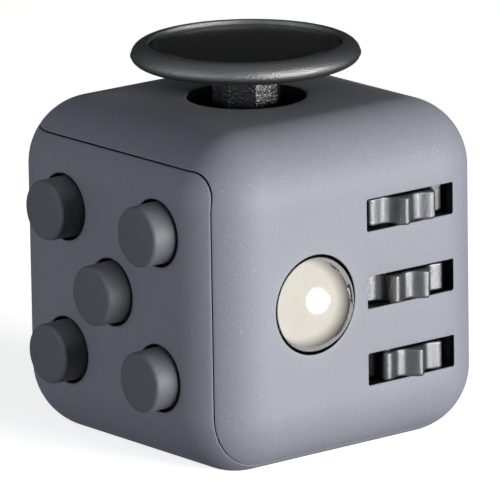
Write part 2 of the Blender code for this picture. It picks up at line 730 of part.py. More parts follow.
def joystick_ring():
    """The gimbal ring: it tips on pins along Y and carries the shaft on pins along X."""
    outer = RING_INNER + RING_WALL
    low, high = -PIVOT_DEPTH - RING_HALF_HEIGHT, -PIVOT_DEPTH + RING_HALF_HEIGHT
    profile = [(RING_INNER, high), (outer, high), (outer, low), (RING_INNER, low)]
    ring = turned("joystick_ring", profile, TOP, "frame", steps=24, closed=True)
    reach = SOCKET_INNER + SOCKET_WALL - CLEAR
    pins = crossbar("ring_pins", TRUNNION_RADIUS, "Y", reach, (0, 0, -PIVOT_DEPTH), TOP, sides=12)
    core = peg("ring_core", RING_INNER + RING_WALL / 2, -PIVOT_DEPTH - PAST, -PIVOT_DEPTH + PAST,
               parent=TOP, sides=32)
    combine(pins, core)
    combine(ring, pins, "UNION")
    holes = crossbar("ring_holes", TRUNNION_RADIUS + CLEAR, "X", outer + PAST,
                     (0, 0, -PIVOT_DEPTH), TOP, sides=12)
    combine(ring, holes)


def joystick_socket():
    """A cup that hangs from the ceiling, with a tower under it for the return spring."""
    outer = SOCKET_INNER + SOCKET_WALL
    tower = TOWER_INNER + TOWER_WALL
    top = -WALL - CLEAR
    floor = -SOCKET_FLOOR_DEPTH
    tower_floor = -TOWER_BOTTOM + SOCKET_FLOOR
    profile = [(SOCKET_INNER, top), (outer, top), (outer, floor - SOCKET_FLOOR),
               (tower, floor - SOCKET_FLOOR), (tower, -TOWER_BOTTOM), (0, -TOWER_BOTTOM),
               (0, tower_floor), (TOWER_INNER, tower_floor), (TOWER_INNER, floor),
               (SOCKET_INNER, floor)]
    # Both ends of the axis edge are left open, because a turned solid closes there by itself.
    order = profile[6:] + profile[:6]
    socket = turned("joystick_socket", order, TOP, "frame", steps=24)
    places = [(SOCKET_EAR_OUT, 0), (-SOCKET_EAR_OUT, 0)]
    ear_back = -SOCKET_EAR_DEPTH - EAR_THICK
    for side in (-1, 1):
        near, far = side * (outer - SINK), side * SOCKET_EAR_OUT
        arm = block(
            f"socket_arm_{'left' if side < 0 else 'right'}",
            (min(near, far), -EAR_RADIUS, ear_back),
            (max(near, far), EAR_RADIUS, -SOCKET_EAR_DEPTH),
            TOP,
        )
        combine(socket, arm, "UNION")
    ears = peg("socket_ears", EAR_RADIUS, ear_back, -SOCKET_EAR_DEPTH, places, TOP, sides=16)
    combine(socket, ears, "UNION")
    holes = peg("socket_ear_holes", HOLE_RADIUS, ear_back - PAST, -SOCKET_EAR_DEPTH + PAST,
                places, TOP, sides=12)
    combine(socket, holes)
    pin_holes = crossbar("socket_pin_holes", TRUNNION_RADIUS + CLEAR, "Y", outer + PAST,
                         (0, 0, -PIVOT_DEPTH), TOP, sides=12)
    combine(socket, pin_holes)
    # Room for the upper ear and screw of the ball bracket.
    bracket_x = half - BRACKET_DEPTH
    notch = block(
        "socket_notch",
        (bracket_x - BRACKET_THICK - SCREW_HEAD - 3 * CLEAR, BALL_ACROSS - EDGE,
         middle + BRACKET_EAR_UP - EAR_RADIUS - PAST),
        (half, BALL_ACROSS + EAR_RADIUS + CLEAR,
         middle + BRACKET_EAR_UP + EAR_RADIUS + CLEAR),
    )
    combine(socket, notch)
    bosses("socket", shell_upper, TOP, places, -SOCKET_EAR_DEPTH)
    for name, (across, up) in zip(("right", "left"), places):
        screw("socket_screw_" + name, TOP, across, up, ear_back, EAR_THICK + SCREW_HOLD)
    coil("joystick_spring", SHAFT_RADIUS - 2 * WIRE_RADIUS, tower_floor + CLEAR,
         -SHAFT_BOTTOM - CLEAR, 4, TOP)


def joystick_face():
    joystick_cap()
    joystick_shaft()
    joystick_ring()
    joystick_socket()
    opening = peg("top_opening", TOP_OPENING_RADIUS, -WALL - PAST, PAST, parent=TOP, sides=32)
    combine(shell_upper, opening)


joystick_face()


# ---------------------------------------------------------------- dial
def dial_face():
    back = -DIAL_RECESS + CLEAR
    shaft_end = -WALL - DIAL_PLAY
    profile = [(0, DIAL_PROUD), (DIAL_RADIUS - DIAL_EDGE, DIAL_PROUD),
               (DIAL_RADIUS, DIAL_PROUD - DIAL_EDGE), (DIAL_RADIUS, back),
               (DIAL_SHAFT_RADIUS, back), (DIAL_SHAFT_RADIUS, shaft_end), (0, shaft_end)]
    dial = turned("dial", profile, LEFT, "key", steps=32)
    nub_profile = arc(0, DIAL_PROUD, NUB_RADIUS, NUB_HEIGHT, 90, 0, 5)
    nub_profile += [(NUB_RADIUS, DIAL_PROUD - SINK), (0, DIAL_PROUD - SINK)]
    combine(dial, turned("dial_nub", nub_profile, LEFT, None, (0, NUB_OUT, 0), steps=20), "UNION")
    pilot = peg("dial_pilot", HOLE_RADIUS, shaft_end - PAST, DIAL_PROUD - 3 * CLEAR, parent=LEFT,
                sides=12)
    combine(dial, pilot)
    recess = peg("dial_recess", DIAL_RADIUS + CLEAR, -DIAL_RECESS, PAST, parent=LEFT, sides=32)
    combine(shell_lower, recess)
    bearing = peg("dial_bearing", DIAL_SHAFT_RADIUS + CLEAR, -WALL - PAST, PAST, parent=LEFT,
                  sides=24)
    combine(shell_lower, bearing)
    face = shaft_end - CLEAR
    ring = [(HOLE_RADIUS, face), (RETAINER_RADIUS, face),
            (RETAINER_RADIUS, face - RETAINER_THICK), (HOLE_RADIUS, face - RETAINER_THICK)]
    turned("dial_retainer", ring, LEFT, "frame", steps=24, closed=True)
    screw("dial_screw", LEFT, 0, 0, face - RETAINER_THICK,
          RETAINER_THICK + SCREW_SHORT_HOLD)


dial_face()


# ---------------------------------------------------------------- rocker switch
def rocker_outline():
    """The rocker seen along its pin, level, as (up, out) points round the pin."""
    raised = math.acos((ROCKER_PIVOT_DEPTH + ROCKER_PROUD) / ROCKER_RADIUS) + ROCKER_TILT
    shoulder = math.acos(ROCKER_SKIRT / ROCKER_RADIUS)
    corner = (ROCKER_RADIUS * math.sin(raised), ROCKER_RADIUS * math.cos(raised))
    valley = corner[1] - corner[0] * math.tan(ROCKER_TILT)
    start, end = 90 - math.degrees(raised), 90 - math.degrees(shoulder)
    right = arc(0, 0, ROCKER_RADIUS, ROCKER_RADIUS, start, end, 6)
    right += arc(0, 0, ROCKER_HUB, ROCKER_HUB, -10, -90, 4)
    left = [(-u, v) for u, v in reversed(right[:-1])]
    return [(0, valley)] + right + left


def rocker_face():
    pin_at = (0, 0, -ROCKER_PIVOT_DEPTH)
    bm = bmesh.new()
    outline = rocker_outline()
    near = [bm.verts.new((-ROCKER_HALF_WIDTH, u, v)) for u, v in outline]
    bm.faces.new(near)
    grown = bmesh.ops.extrude_face_region(bm, geom=bm.faces[:])
    moved = [v for v in grown["geom"] if isinstance(v, bmesh.types.BMVert)]
    bmesh.ops.translate(bm, verts=moved, vec=(2 * ROCKER_HALF_WIDTH, 0, 0))
    bmesh.ops.recalc_face_normals(bm, faces=bm.faces[:])
    rocker = place("rocker", mesh_from("rocker", bm), BACK, pin_at, "key")
    rocker.rotation_euler.x = ROCKER_TILT
    pin_hole = crossbar("rocker_pin_hole", ROCKER_PIN_RADIUS + CLEAR, "X",
                        ROCKER_HALF_WIDTH + PAST, (0, 0, 0), rocker)
    combine(rocker, pin_hole)

    cheek = ROCKER_HALF_WIDTH + CLEAR
    end = ROCKER_RADIUS + CLEAR
    top = -WALL - CLEAR
    floor = -HOUSING_FLOOR_DEPTH
    housing = block(
        "rocker_housing",
        (-cheek - HOUSING_WALL, -end - HOUSING_WALL, floor - HOUSING_WALL),
        (cheek + HOUSING_WALL, end + HOUSING_WALL, top),
        BACK, "frame",
    )
    tube_radius = PLUNGER_RADIUS + CLEAR
    tube = peg("plunger_tube", tube_radius + PLUNGER_TUBE_WALL, -PLUNGER_TUBE_END,
               floor - SINK, parent=BACK, sides=24)
    combine(housing, tube, "UNION")
    ear_out = cheek + HOUSING_WALL + CLEAR + BOSS_RADIUS
    places = [(ear_out, 0), (-ear_out, 0)]
    ear_face = -HOUSING_EAR_DEPTH
    ear_back = ear_face - EAR_THICK
    ear_radius = EAR_RADIUS - CLEAR
    arms = block("housing_arms", (-ear_out, -ear_radius, ear_back),
                 (ear_out, ear_radius, ear_face), BACK)
    combine(housing, arms, "UNION")
    ears = peg("housing_ears", ear_radius, ear_back, ear_face, places, BACK, sides=16)
    combine(housing, ears, "UNION")
    combine(housing, ROOM, "INTERSECT")
    well = block("housing_well", (-cheek, -end, floor), (cheek, end, top + PAST), BACK)
    combine(housing, well)
    bore = peg("plunger_bore", tube_radius, -PLUNGER_TUBE_END + PLUNGER_TUBE_WALL,
               floor + PAST, parent=BACK, sides=24)
    combine(housing, bore)
    pin_reach = cheek + HOUSING_WALL / 2
    pockets = crossbar("housing_pin_pockets", ROCKER_PIN_RADIUS + CLEAR, "X", pin_reach + CLEAR,
                       pin_at, BACK)
    combine(housing, pockets)
    holes = peg("housing_ear_holes", HOLE_RADIUS, ear_back - PAST, ear_face + PAST, places, BACK,
                sides=12)
    combine(housing, holes)
    bosses("housing", shell_upper, BACK, places, ear_face)
    for name, (across, up) in zip(("left", "right"), places):
        screw("housing_screw_" + name, BACK, across, up, ear_back,
              EAR_THICK + SCREW_SHORT_HOLD)
    crossbar("rocker_pin", ROCKER_PIN_RADIUS, "X", pin_reach, pin_at, BACK, "spring")

    tip = -ROCKER_PIVOT_DEPTH - ROCKER_HUB - CLEAR
    base = tip - PLUNGER_LENGTH
    plunger = [(0, tip), (PLUNGER_RADIUS - 2 * PLUNGER_NOSE, tip),
               (PLUNGER_RADIUS, tip - PLUNGER_NOSE),
               (PLUNGER_RADIUS, base), (0, base)]
    turned("rocker_plunger", plunger, BACK, "key", steps=20)
    spring_low = -PLUNGER_TUBE_END + PLUNGER_TUBE_WALL + CLEAR
    coil("rocker_spring", PLUNGER_RADIUS - 2 * WIRE_RADIUS, spring_low, base - CLEAR, 3, BACK)

    # The opening clears the round end faces where they pass the inside of the wall.
    opening_half = math.sqrt(ROCKER_RADIUS ** 2 - (ROCKER_PIVOT_DEPTH - WALL) ** 2) + CLEAR
    opening = block("rocker_opening", (-cheek, -opening_half, -WALL - PAST),
                    (cheek, opening_half, PAST), BACK)
    combine(shell_upper, opening)


rocker_face()
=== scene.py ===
# %% [markdown]
# # A fidget cube, piece by piece
# The real toy is a cube of about 33 mm with something to press, turn or roll on each face.
# Its case is moulded in two halves and sprayed with a soft-touch lacquer, and the working parts
# stand through holes in it. The working model already holds every part at its real place, so
# this lesson loads it, keeps it still, and makes the surfaces that the eye meets.

import json
import math

import bmesh
import bpy
from mathutils import Matrix, Quaternion, Vector


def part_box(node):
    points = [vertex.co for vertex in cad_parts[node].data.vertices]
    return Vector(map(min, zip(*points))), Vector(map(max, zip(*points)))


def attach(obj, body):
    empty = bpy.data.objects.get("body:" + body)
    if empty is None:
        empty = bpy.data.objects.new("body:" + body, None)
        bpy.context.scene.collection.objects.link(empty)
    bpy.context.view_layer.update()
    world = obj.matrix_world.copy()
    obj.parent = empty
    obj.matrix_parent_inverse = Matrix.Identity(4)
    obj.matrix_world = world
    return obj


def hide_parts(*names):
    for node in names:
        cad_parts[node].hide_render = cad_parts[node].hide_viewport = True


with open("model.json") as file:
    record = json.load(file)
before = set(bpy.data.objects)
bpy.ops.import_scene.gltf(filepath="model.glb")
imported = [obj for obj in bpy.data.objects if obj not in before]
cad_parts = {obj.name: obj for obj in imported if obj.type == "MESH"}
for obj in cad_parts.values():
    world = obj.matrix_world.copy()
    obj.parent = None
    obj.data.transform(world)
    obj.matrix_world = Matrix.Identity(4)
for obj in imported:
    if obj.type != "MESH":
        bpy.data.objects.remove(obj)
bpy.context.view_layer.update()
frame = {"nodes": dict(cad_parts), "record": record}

# %% [markdown]
# ## Sizes that everything shares
# Work in metres, because the working model does, and write lengths as so many MM. The size of the
# case is read from its two halves. Each face of the cube gets a matrix of its own: across, up and
# out of that face. A piece can then be made as if it lay flat on a bench, and be set in its face at
# the end.

# %% The case's size and its faces
MM = 0.001
X, Y, Z = Vector((1, 0, 0)), Vector((0, 1, 0)), Vector((0, 0, 1))
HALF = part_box("shell_upper")[1].x
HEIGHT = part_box("shell_upper")[1].z
MIDDLE = HEIGHT / 2
GAP = 0.3 * MM          # the working model's clearance round a moving piece


def face_matrix(origin, across, up):
    """A frame on a face: local X across it, local Y up it, local Z out of it."""
    out = across.cross(up)
    turn = Matrix((across, up, out)).transposed().to_4x4()
    return Matrix.Translation(origin) @ turn


FRONT = face_matrix(Vector((0, -HALF, MIDDLE)), X, Z)
RIGHT = face_matrix(Vector((HALF, 0, MIDDLE)), Y, Z)
BACK = face_matrix(Vector((0, HALF, MIDDLE)), -X, Z)
LEFT = face_matrix(Vector((-HALF, 0, MIDDLE)), -Y, Z)
TOP = face_matrix(Vector((0, 0, HEIGHT)), X, Y)
print("case:", round(2 * HALF / MM, 2), "mm wide,", round(HEIGHT / MM, 2), "mm high")


def seat(node, face):
    """Where the middle of a node lies on a face: across, up and out, in the face's frame."""
    low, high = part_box(node)
    return face.inverted() @ ((low + high) / 2)


# %% [markdown]
# ## Materials: how a recipe is written
# A material is a small network of nodes. One helper adds a node, sets what it is told and links what
# it is given, so each recipe reads from the pattern to the shader. Colours are written as people
# give them, in sRGB hex, and one function turns them to the linear numbers that light needs.
# Patterns read Object coordinates, which are metres here, so a grain of so many millimetres has a
# scale of one divided by that length.

# %% Helpers for materials
def colour(code):
    """A colour as RGBA in linear light, from sRGB hex."""
    parts = [int(code[i:i + 2], 16) / 255 for i in (1, 3, 5)]
    linear = [p / 12.92 if p <= 0.04045 else ((p + 0.055) / 1.055) ** 2.4 for p in parts]
    return (*linear, 1.0)


def add(tree, kind, values=None, **settings):
    """Adds a node; a value that is another node's output is linked, and any other is set."""
    made = tree.nodes.new(kind)
    for name, value in settings.items():
        setattr(made, name, value)
    for socket, value in (values or {}).items():
        if isinstance(value, bpy.types.NodeSocket):
            tree.links.new(value, made.inputs[socket])
        else:
            made.inputs[socket].default_value = value
    return made


def recipe(name):
    """An empty material: its tree and the Object coordinates that its patterns read."""
    material = bpy.data.materials.new(name)
    material.use_nodes = True
    tree = material.node_tree
    tree.nodes.clear()
    return material, tree, add(tree, "ShaderNodeTexCoord").outputs["Object"]


def finish_recipe(tree, values):
    """Ends a recipe with the shader and the output."""
    shader = add(tree, "ShaderNodeBsdfPrincipled", values)
    add(tree, "ShaderNodeOutputMaterial", {"Surface": shader.outputs["BSDF"]})


def per(length):
    """The scale of a pattern whose grains are that long."""
    return 1 / length


# %% [markdown]
# ## Soft-touch lacquer
# The case and the buttons are ABS mouldings sprayed with a soft-touch polyurethane lacquer. It
# feels like rubber and scatters light widely, so there is no sharp shine, only a broad pale
# bloom where a lamp faces it, and a faint velvet edge. Matting powder in the lacquer shows as a very
# fine grain with a few paler specks. The real grain is about 0.02 mm, too fine to show here, so it is
# drawn at 0.16 mm.

# %% Soft-touch lacquer on ABS
LACQUER_GRAIN = 0.16 * MM
SPECK_SPACING = 0.62 * MM
SPECK_SIZE = 0.05      # radius, as a share of the spacing
CLOUD = 9 * MM         # slow change of tone over a face


def soft_touch(name, body, cloud, speck, roughness):
    material, tree, where = recipe(name)
    tone = add(tree, "ShaderNodeTexNoise", {"Vector": where, "Scale": per(CLOUD), "Detail": 3.0})
    base = add(tree, "ShaderNodeMix", {
        "Factor": tone.outputs["Fac"], "A": colour(body), "B": colour(cloud),
    }, data_type="RGBA")
    grain = add(tree, "ShaderNodeTexNoise", {
        "Vector": where, "Scale": per(LACQUER_GRAIN), "Detail": 4.0, "Roughness": 0.7,
    })
    cells = add(tree, "ShaderNodeTexVoronoi", {"Vector": where, "Scale": per(SPECK_SPACING)})
    dots = add(tree, "ShaderNodeMapRange", {
        "Value": cells.outputs["Distance"], "From Min": SPECK_SIZE, "From Max": 2 * SPECK_SIZE,
        "To Min": 1.0, "To Max": 0.0,
    })
    # Each cell's own random shade decides how strong its speck is, and most are very weak.
    luck = add(tree, "ShaderNodeSeparateColor", {"Color": cells.outputs["Color"]})
    strong = add(tree, "ShaderNodeMapRange", {
        "Value": luck.outputs["Red"], "From Min": 0.45, "From Max": 1.0, "To Min": 0.0, "To Max": 0.5,
    })
    dusty = add(tree, "ShaderNodeMapRange", {
        "Value": grain.outputs["Fac"], "From Min": 0.4, "From Max": 0.7, "To Min": 0.0, "To Max": 0.1,
    })
    amount = add(tree, "ShaderNodeMath", {
        0: dots.outputs["Result"], 1: strong.outputs["Result"], 2: dusty.outputs["Result"],
    }, operation="MULTIPLY_ADD")
    specked = add(tree, "ShaderNodeMix", {
        "Factor": amount.outputs["Value"], "A": base.outputs["Result"], "B": colour(speck),
    }, data_type="RGBA")
    rough = add(tree, "ShaderNodeMapRange", {
        "Value": grain.outputs["Fac"], "From Min": 0.3, "From Max": 0.7,
        "To Min": roughness - 0.07, "To Max": roughness + 0.07,
    })
    bump = add(tree, "ShaderNodeBump", {
        "Height": grain.outputs["Fac"], "Strength": 0.6, "Distance": 0.03 * MM,
    })
    finish_recipe(tree, {
        "Base Color": specked.outputs["Result"], "Roughness": rough.outputs["Result"],
        "IOR": 1.5, "Specular IOR Level": 0.3, "Sheen Weight": 0.02, "Sheen Roughness": 0.4,
        "Normal": bump.outputs["Normal"],
    })
    return material


CASE_LACQUER = soft_touch("soft_touch_lacquer_graphite", "#53565F", "#575A63", "#A9ABB4", 0.62)
KEY_LACQUER = soft_touch("soft_touch_lacquer_charcoal", "#33363C", "#373A40", "#8E9098", 0.62)
print("lacquers:", CASE_LACQUER.name, KEY_LACQUER.name)

# %% [markdown]
# ## Black ABS, moulded with a texture
# The joystick's cap and post are bare ABS. The tool's cavity was spark eroded, which leaves
# small round craters on the steel and so small bumps on the plastic. Light breaks up into a fine
# glitter there. The craters are about 0.05 mm across. They are drawn at 0.14 mm on the cap and at
# 0.28 mm on the post, which came from a coarser part of the tool. The post is painted darker and
# duller than the cap: painted shade under the cap. The insides of the case's holes are painted a
# near-black ABS with little shine: painted shade in the holes.

# %% Spark-eroded ABS
def eroded_abs(name, body, paler, crater, depth, roughness, shine):
    material, tree, where = recipe(name)
    craters = add(tree, "ShaderNodeTexVoronoi", {
        "Vector": where, "Scale": per(crater), "Randomness": 1.0,
    }, feature="SMOOTH_F1")
    fine = add(tree, "ShaderNodeTexNoise", {
        "Vector": where, "Scale": per(crater / 2), "Detail": 3.0,
    })
    height = add(tree, "ShaderNodeMath", {
        0: craters.outputs["Distance"], 1: fine.outputs["Fac"],
    }, operation="ADD")
    bump = add(tree, "ShaderNodeBump", {
        "Height": height.outputs["Value"], "Strength": 0.8, "Distance": depth,
    })
    rough = add(tree, "ShaderNodeMapRange", {
        "Value": fine.outputs["Fac"], "From Min": 0.3, "From Max": 0.7,
        "To Min": roughness - 0.06, "To Max": roughness + 0.06,
    })
    worn = add(tree, "ShaderNodeTexNoise", {"Vector": where, "Scale": per(6 * MM)})
    base = add(tree, "ShaderNodeMix", {
        "Factor": worn.outputs["Fac"], "A": colour(body), "B": colour(paler),
    }, data_type="RGBA")
    finish_recipe(tree, {
        "Base Color": base.outputs["Result"], "Roughness": rough.outputs["Result"],
        "IOR": 1.54, "Specular IOR Level": shine, "Normal": bump.outputs["Normal"],
    })
    return material


CAP_ABS = eroded_abs("spark_eroded_abs_black", "#101114", "#15171A", 0.14 * MM, 0.05 * MM, 0.34, 0.75)
# The post is one moulding with the cap but painted darker and duller: painted shade under the cap.
POST_ABS_SHADED = eroded_abs("spark_eroded_abs_coarse_shaded", "#050506", "#08090B", 0.28 * MM, 0.06 * MM, 0.3, 0.35)
# Painted shade for the insides of the holes and slots: near-black, with little shine.
HOLE_SHADE_ABS = eroded_abs("abs_black_painted_hole_shade", "#050506", "#09090B", 0.3 * MM, 0.01 * MM, 0.5, 0.12)


# %% [markdown]
# ## Gloss black, satin metal and polished steel
# The disc in the cap is polished acrylic. The wheels are zinc castings with a black nickel plate:
# grey, satin, and grained where the casting shows through the plate. The ball is a bearing ball of
# chromium steel, ground and lapped to a mirror, with the faint scuffs of a pocket. The casting's
# grain is about 0.05 mm across, which wouldn't show, so it is drawn at 0.14 mm.

# %% Polished acrylic
def polished_acrylic():
    material, tree, where = recipe("polished_acrylic_black")
    ripple = add(tree, "ShaderNodeTexNoise", {"Vector": where, "Scale": per(4 * MM), "Detail": 1.0})
    dust = add(tree, "ShaderNodeTexVoronoi", {"Vector": where, "Scale": per(0.7 * MM)})
    rough = add(tree, "ShaderNodeMapRange", {
        "Value": dust.outputs["Distance"], "From Min": 0.05, "From Max": 0.12,
        "To Min": 0.5, "To Max": 0.17,
    })
    bump = add(tree, "ShaderNodeBump", {
        "Height": ripple.outputs["Fac"], "Strength": 0.1, "Distance": 0.02 * MM,
    })
    finish_recipe(tree, {
        "Base Color": colour("#15171B"), "Roughness": rough.outputs["Result"], "IOR": 1.49,
        "Normal": bump.outputs["Normal"],
    })
    return material


DISC_ACRYLIC = polished_acrylic()


# %% Plated zinc and lapped steel
def cast_metal(name, light, dark, grain, depth, roughness):
    material, tree, where = recipe(name)
    pits = add(tree, "ShaderNodeTexNoise", {
        "Vector": where, "Scale": per(grain), "Detail": 5.0, "Roughness": 0.75,
    })
    base = add(tree, "ShaderNodeMix", {
        "Factor": pits.outputs["Fac"], "A": colour(light), "B": colour(dark),
    }, data_type="RGBA")
    rough = add(tree, "ShaderNodeMapRange", {
        "Value": pits.outputs["Fac"], "From Min": 0.35, "From Max": 0.65,
        "To Min": roughness - 0.08, "To Max": roughness + 0.08,
    })
    bump = add(tree, "ShaderNodeBump", {
        "Height": pits.outputs["Fac"], "Strength": 1.0, "Distance": depth,
    })
    finish_recipe(tree, {
        "Base Color": base.outputs["Result"], "Roughness": rough.outputs["Result"],
        "Metallic": 1.0, "Normal": bump.outputs["Normal"],
    })
    return material


GEAR_METAL = cast_metal("black_nickel_on_zinc", "#66676B", "#28292C", 0.14 * MM, 0.04 * MM, 0.34)
BALL_STEEL = cast_metal("lapped_bearing_steel", "#E6E1D7", "#DAD4C8", 3 * MM, 0.0004 * MM, 0.09)
SPRING_STEEL = cast_metal("drawn_spring_steel", "#C3C5CA", "#A7A9AF", 0.3 * MM, 0.003 * MM, 0.3)


# %% [markdown]
# ## What hides inside
# The frames are plain acetal, milky and slightly waxy, and the domes are silicone rubber. They
# hardly show, but each gets its own finish.

# %% Acetal and silicone
def milky_polymer(name, body, shade, roughness, soft):
    material, tree, where = recipe(name)
    flow = add(tree, "ShaderNodeTexNoise", {"Vector": where, "Scale": per(5 * MM), "Detail": 4.0})
    base = add(tree, "ShaderNodeMix", {
        "Factor": flow.outputs["Fac"], "A": colour(body), "B": colour(shade),
    }, data_type="RGBA")
    grain = add(tree, "ShaderNodeTexNoise", {"Vector": where, "Scale": per(0.3 * MM)})
    bump = add(tree, "ShaderNodeBump", {
        "Height": grain.outputs["Fac"], "Strength": 0.2, "Distance": 0.01 * MM,
    })
    finish_recipe(tree, {
        "Base Color": base.outputs["Result"], "Roughness": roughness, "IOR": 1.48,
        "Subsurface Weight": soft, "Subsurface Scale": 0.5 * MM,
        "Normal": bump.outputs["Normal"],
    })
    return material


ACETAL = milky_polymer("moulded_acetal_black", "#26282C", "#1E2024", 0.45, 0.0)
SILICONE = milky_polymer("silicone_rubber_milky", "#C9CCD0", "#B9BCC1", 0.5, 0.3)

INSIDE = {
    "frame": ACETAL, "spring": SPRING_STEEL, "silicone": SILICONE, "key": KEY_LACQUER,
    "case": CASE_LACQUER, "gear": GEAR_METAL, "dark": DISC_ACRYLIC, "steel": BALL_STEEL,
}
for entry in frame["record"]["subparts"]:
    mesh = frame["nodes"][entry["node"]].data
    mesh.materials.clear()
    mesh.materials.append(INSIDE[entry["material_slot"]])
print("every node of the working model has its finish")

# %% [markdown]
# ## Shapes: a few tools of the bench
# Most pieces are turned: an outline is spun round an axis. Real edges are never quite sharp, so the
# outline's corners take a radius each. Holes are cut with Boolean modifiers, as a mill would. A
# hole's cutter flares out where it leaves the face, so the mouth of the hole gets the small round
# that catches the light.

# %% Helpers for shapes
def settle(name, bm, material, place=Matrix(), sharp=40):
    """Ends a mesh: places it, turns its faces outwards, shades it and hangs a material on it."""
    bmesh.ops.transform(bm, matrix=place, verts=bm.verts[:])
    bmesh.ops.recalc_face_normals(bm, faces=bm.faces[:])
    mesh = bpy.data.meshes.new(name)
    bm.to_mesh(mesh)
    bm.free()
    mesh.shade_smooth()
    mesh.set_sharp_from_angle(angle=math.radians(sharp))
    if material:
        mesh.materials.append(material)
    piece = bpy.data.objects.new(name, mesh)
    bpy.context.scene.collection.objects.link(piece)
    return piece


def eased(corners, steps=6):
    """An outline whose corners (r, h, radius) are rounded; a corner without a radius stays."""
    outline = []
    last = len(corners) - 1
    for i, corner in enumerate(corners):
        here = Vector(corner[:2])
        radius = corner[2] if len(corner) > 2 else 0
        if radius == 0 or i in (0, last):
            outline.append(here)
            continue
        back = (Vector(corners[i - 1][:2]) - here).normalized()
        ahead = (Vector(corners[i + 1][:2]) - here).normalized()
        half_angle = back.angle(ahead) / 2
        centre = here + (back + ahead).normalized() * (radius / math.sin(half_angle))
        start = here + back * (radius / math.tan(half_angle)) - centre
        end = here + ahead * (radius / math.tan(half_angle)) - centre
        for k in range(steps + 1):
            outline.append(centre + start.slerp(end, k / steps).normalized() * radius)
    return [(p.x, p.y) for p in outline]


def spun(name, outline, material=None, place=Matrix(), steps=96, sharp=40):
    """Turns an outline from the axis round to the axis again; the poles are fans."""
    bm = bmesh.new()
    rings = []
    for r, h in outline:
        if r < 1e-7:
            rings.append([bm.verts.new((0, 0, h))])
            continue
        rings.append([
            bm.verts.new((r * math.cos(a), r * math.sin(a), h))
            for a in (2 * math.pi * k / steps for k in range(steps))
        ])
    for one, two in zip(rings, rings[1:]):
        for k in range(steps):
            n = (k + 1) % steps
            if len(one) == 1:
                bm.faces.new((one[0], two[k], two[n]))
            elif len(two) == 1:
                bm.faces.new((one[k], two[0], one[n]))
            else:
                bm.faces.new((one[k], two[k], two[n], one[n]))
    return settle(name, bm, material, place, sharp)


def brick(name, low, high, place=Matrix(), radius=0.0, material=None):
    """A box between two corners of a face's frame, its edges rounded."""
    bm = bmesh.new()
    bmesh.ops.create_cube(bm, size=1.0)
    for vert in bm.verts:
        vert.co = Vector([(a + b) / 2 + c * (b - a) for a, b, c in zip(low, high, vert.co)])
    if radius:
        bmesh.ops.bevel(bm, geom=bm.edges[:], offset=radius, segments=4, profile=0.5,
                        affect="EDGES")
    return settle(name, bm, material, place)


def cut(piece, tools, how="DIFFERENCE"):
    """Cuts with, or joins, other meshes, and clears the tools away."""
    for tool in tools:
        change = piece.modifiers.new(tool.name, "BOOLEAN")
        change.operation = how
        change.solver = "EXACT"
        change.object = tool
    graph = bpy.context.evaluated_depsgraph_get()
    mesh = bpy.data.meshes.new_from_object(piece.evaluated_get(graph))
    piece.modifiers.clear()
    piece.data = mesh
    for tool in tools:
        bpy.data.objects.remove(tool)
    return piece


def break_edges(piece, width, sharp=40, wanted=None):
    """Rounds sharp edges by a small width, as a mould or a file would leave them."""
    bm = bmesh.new()
    bm.from_mesh(piece.data)
    bmesh.ops.remove_doubles(bm, verts=bm.verts[:], dist=0.012 * MM)
    limit = math.radians(sharp)
    edges = [e for e in bm.edges if len(e.link_faces) == 2 and e.calc_face_angle() > limit]
    if wanted:
        edges = [e for e in edges if all(wanted(v.co) for v in e.verts)]
    bmesh.ops.bevel(bm, geom=edges, offset=width, segments=2, profile=0.6, affect="EDGES",
                    clamp_overlap=False)
    bm.to_mesh(piece.data)
    bm.free()
    piece.data.shade_smooth()
    piece.data.set_sharp_from_angle(angle=math.radians(sharp))


# %% [markdown]
# ## The case
# A cube with rounded edges could be made with a Bevel modifier, but the Booleans that follow would
# leave long thin triangles on its flat faces, and those shade badly. So the cube is a grid of quads
# on all six sides, and a formula puts each point on the true surface: the nearest point of a
# smaller inner box, pushed out by the radius. The two halves are the same cube, cut along a
# joint line that runs round three faces each.

# %% A rounded cube by formula
CASE_RADIUS = 6.5 * MM
WALL = 2.0 * MM


def rounded_cube(name, low, high, radius, round_cells=12, flat_cells=12, material=None):
    """A box with round edges and corners, as an even grid of quads."""
    cells = 2 * round_cells + flat_cells
    bm = bmesh.new()
    bmesh.ops.create_cube(bm, size=2.0)
    bmesh.ops.subdivide_edges(bm, edges=bm.edges[:], cuts=cells - 1, use_grid_fill=True)
    for vert in bm.verts:
        core, out = Vector(), Vector()
        for axis in range(3):
            step = round((vert.co[axis] + 1) / 2 * cells)
            near, far = low[axis] + radius, high[axis] - radius
            before, after = round_cells - step, step - (cells - round_cells)
            if before >= 0:
                core[axis], out[axis] = near, -math.tan(math.pi / 4 * before / round_cells)
            elif after >= 0:
                core[axis], out[axis] = far, math.tan(math.pi / 4 * after / round_cells)
            else:
                core[axis] = near + (far - near) * (step - round_cells) / flat_cells
        vert.co = core + radius * out.normalized()
    return settle(name, bm, material)


def inset_cube(name, inset, round_cells, flat_cells, material=None):
    """The case's outside, or the surface that far inside it."""
    edge = HALF - inset
    return rounded_cube(name, (-edge, -edge, inset), (edge, edge, HEIGHT - inset),
                        CASE_RADIUS - inset, round_cells, flat_cells, material)


# %% [markdown]
# Each half has its own holes. The lower half carries the buttons, the dial and the thumb dish on
# the underside; the upper half carries the wheels, the ball, the joystick and the rocker. Where the
# working model leaves a joint gap that a hand could feel, the real halves almost touch, so the
# visible gap is a hair line of 0.12 mm in the middle of it.

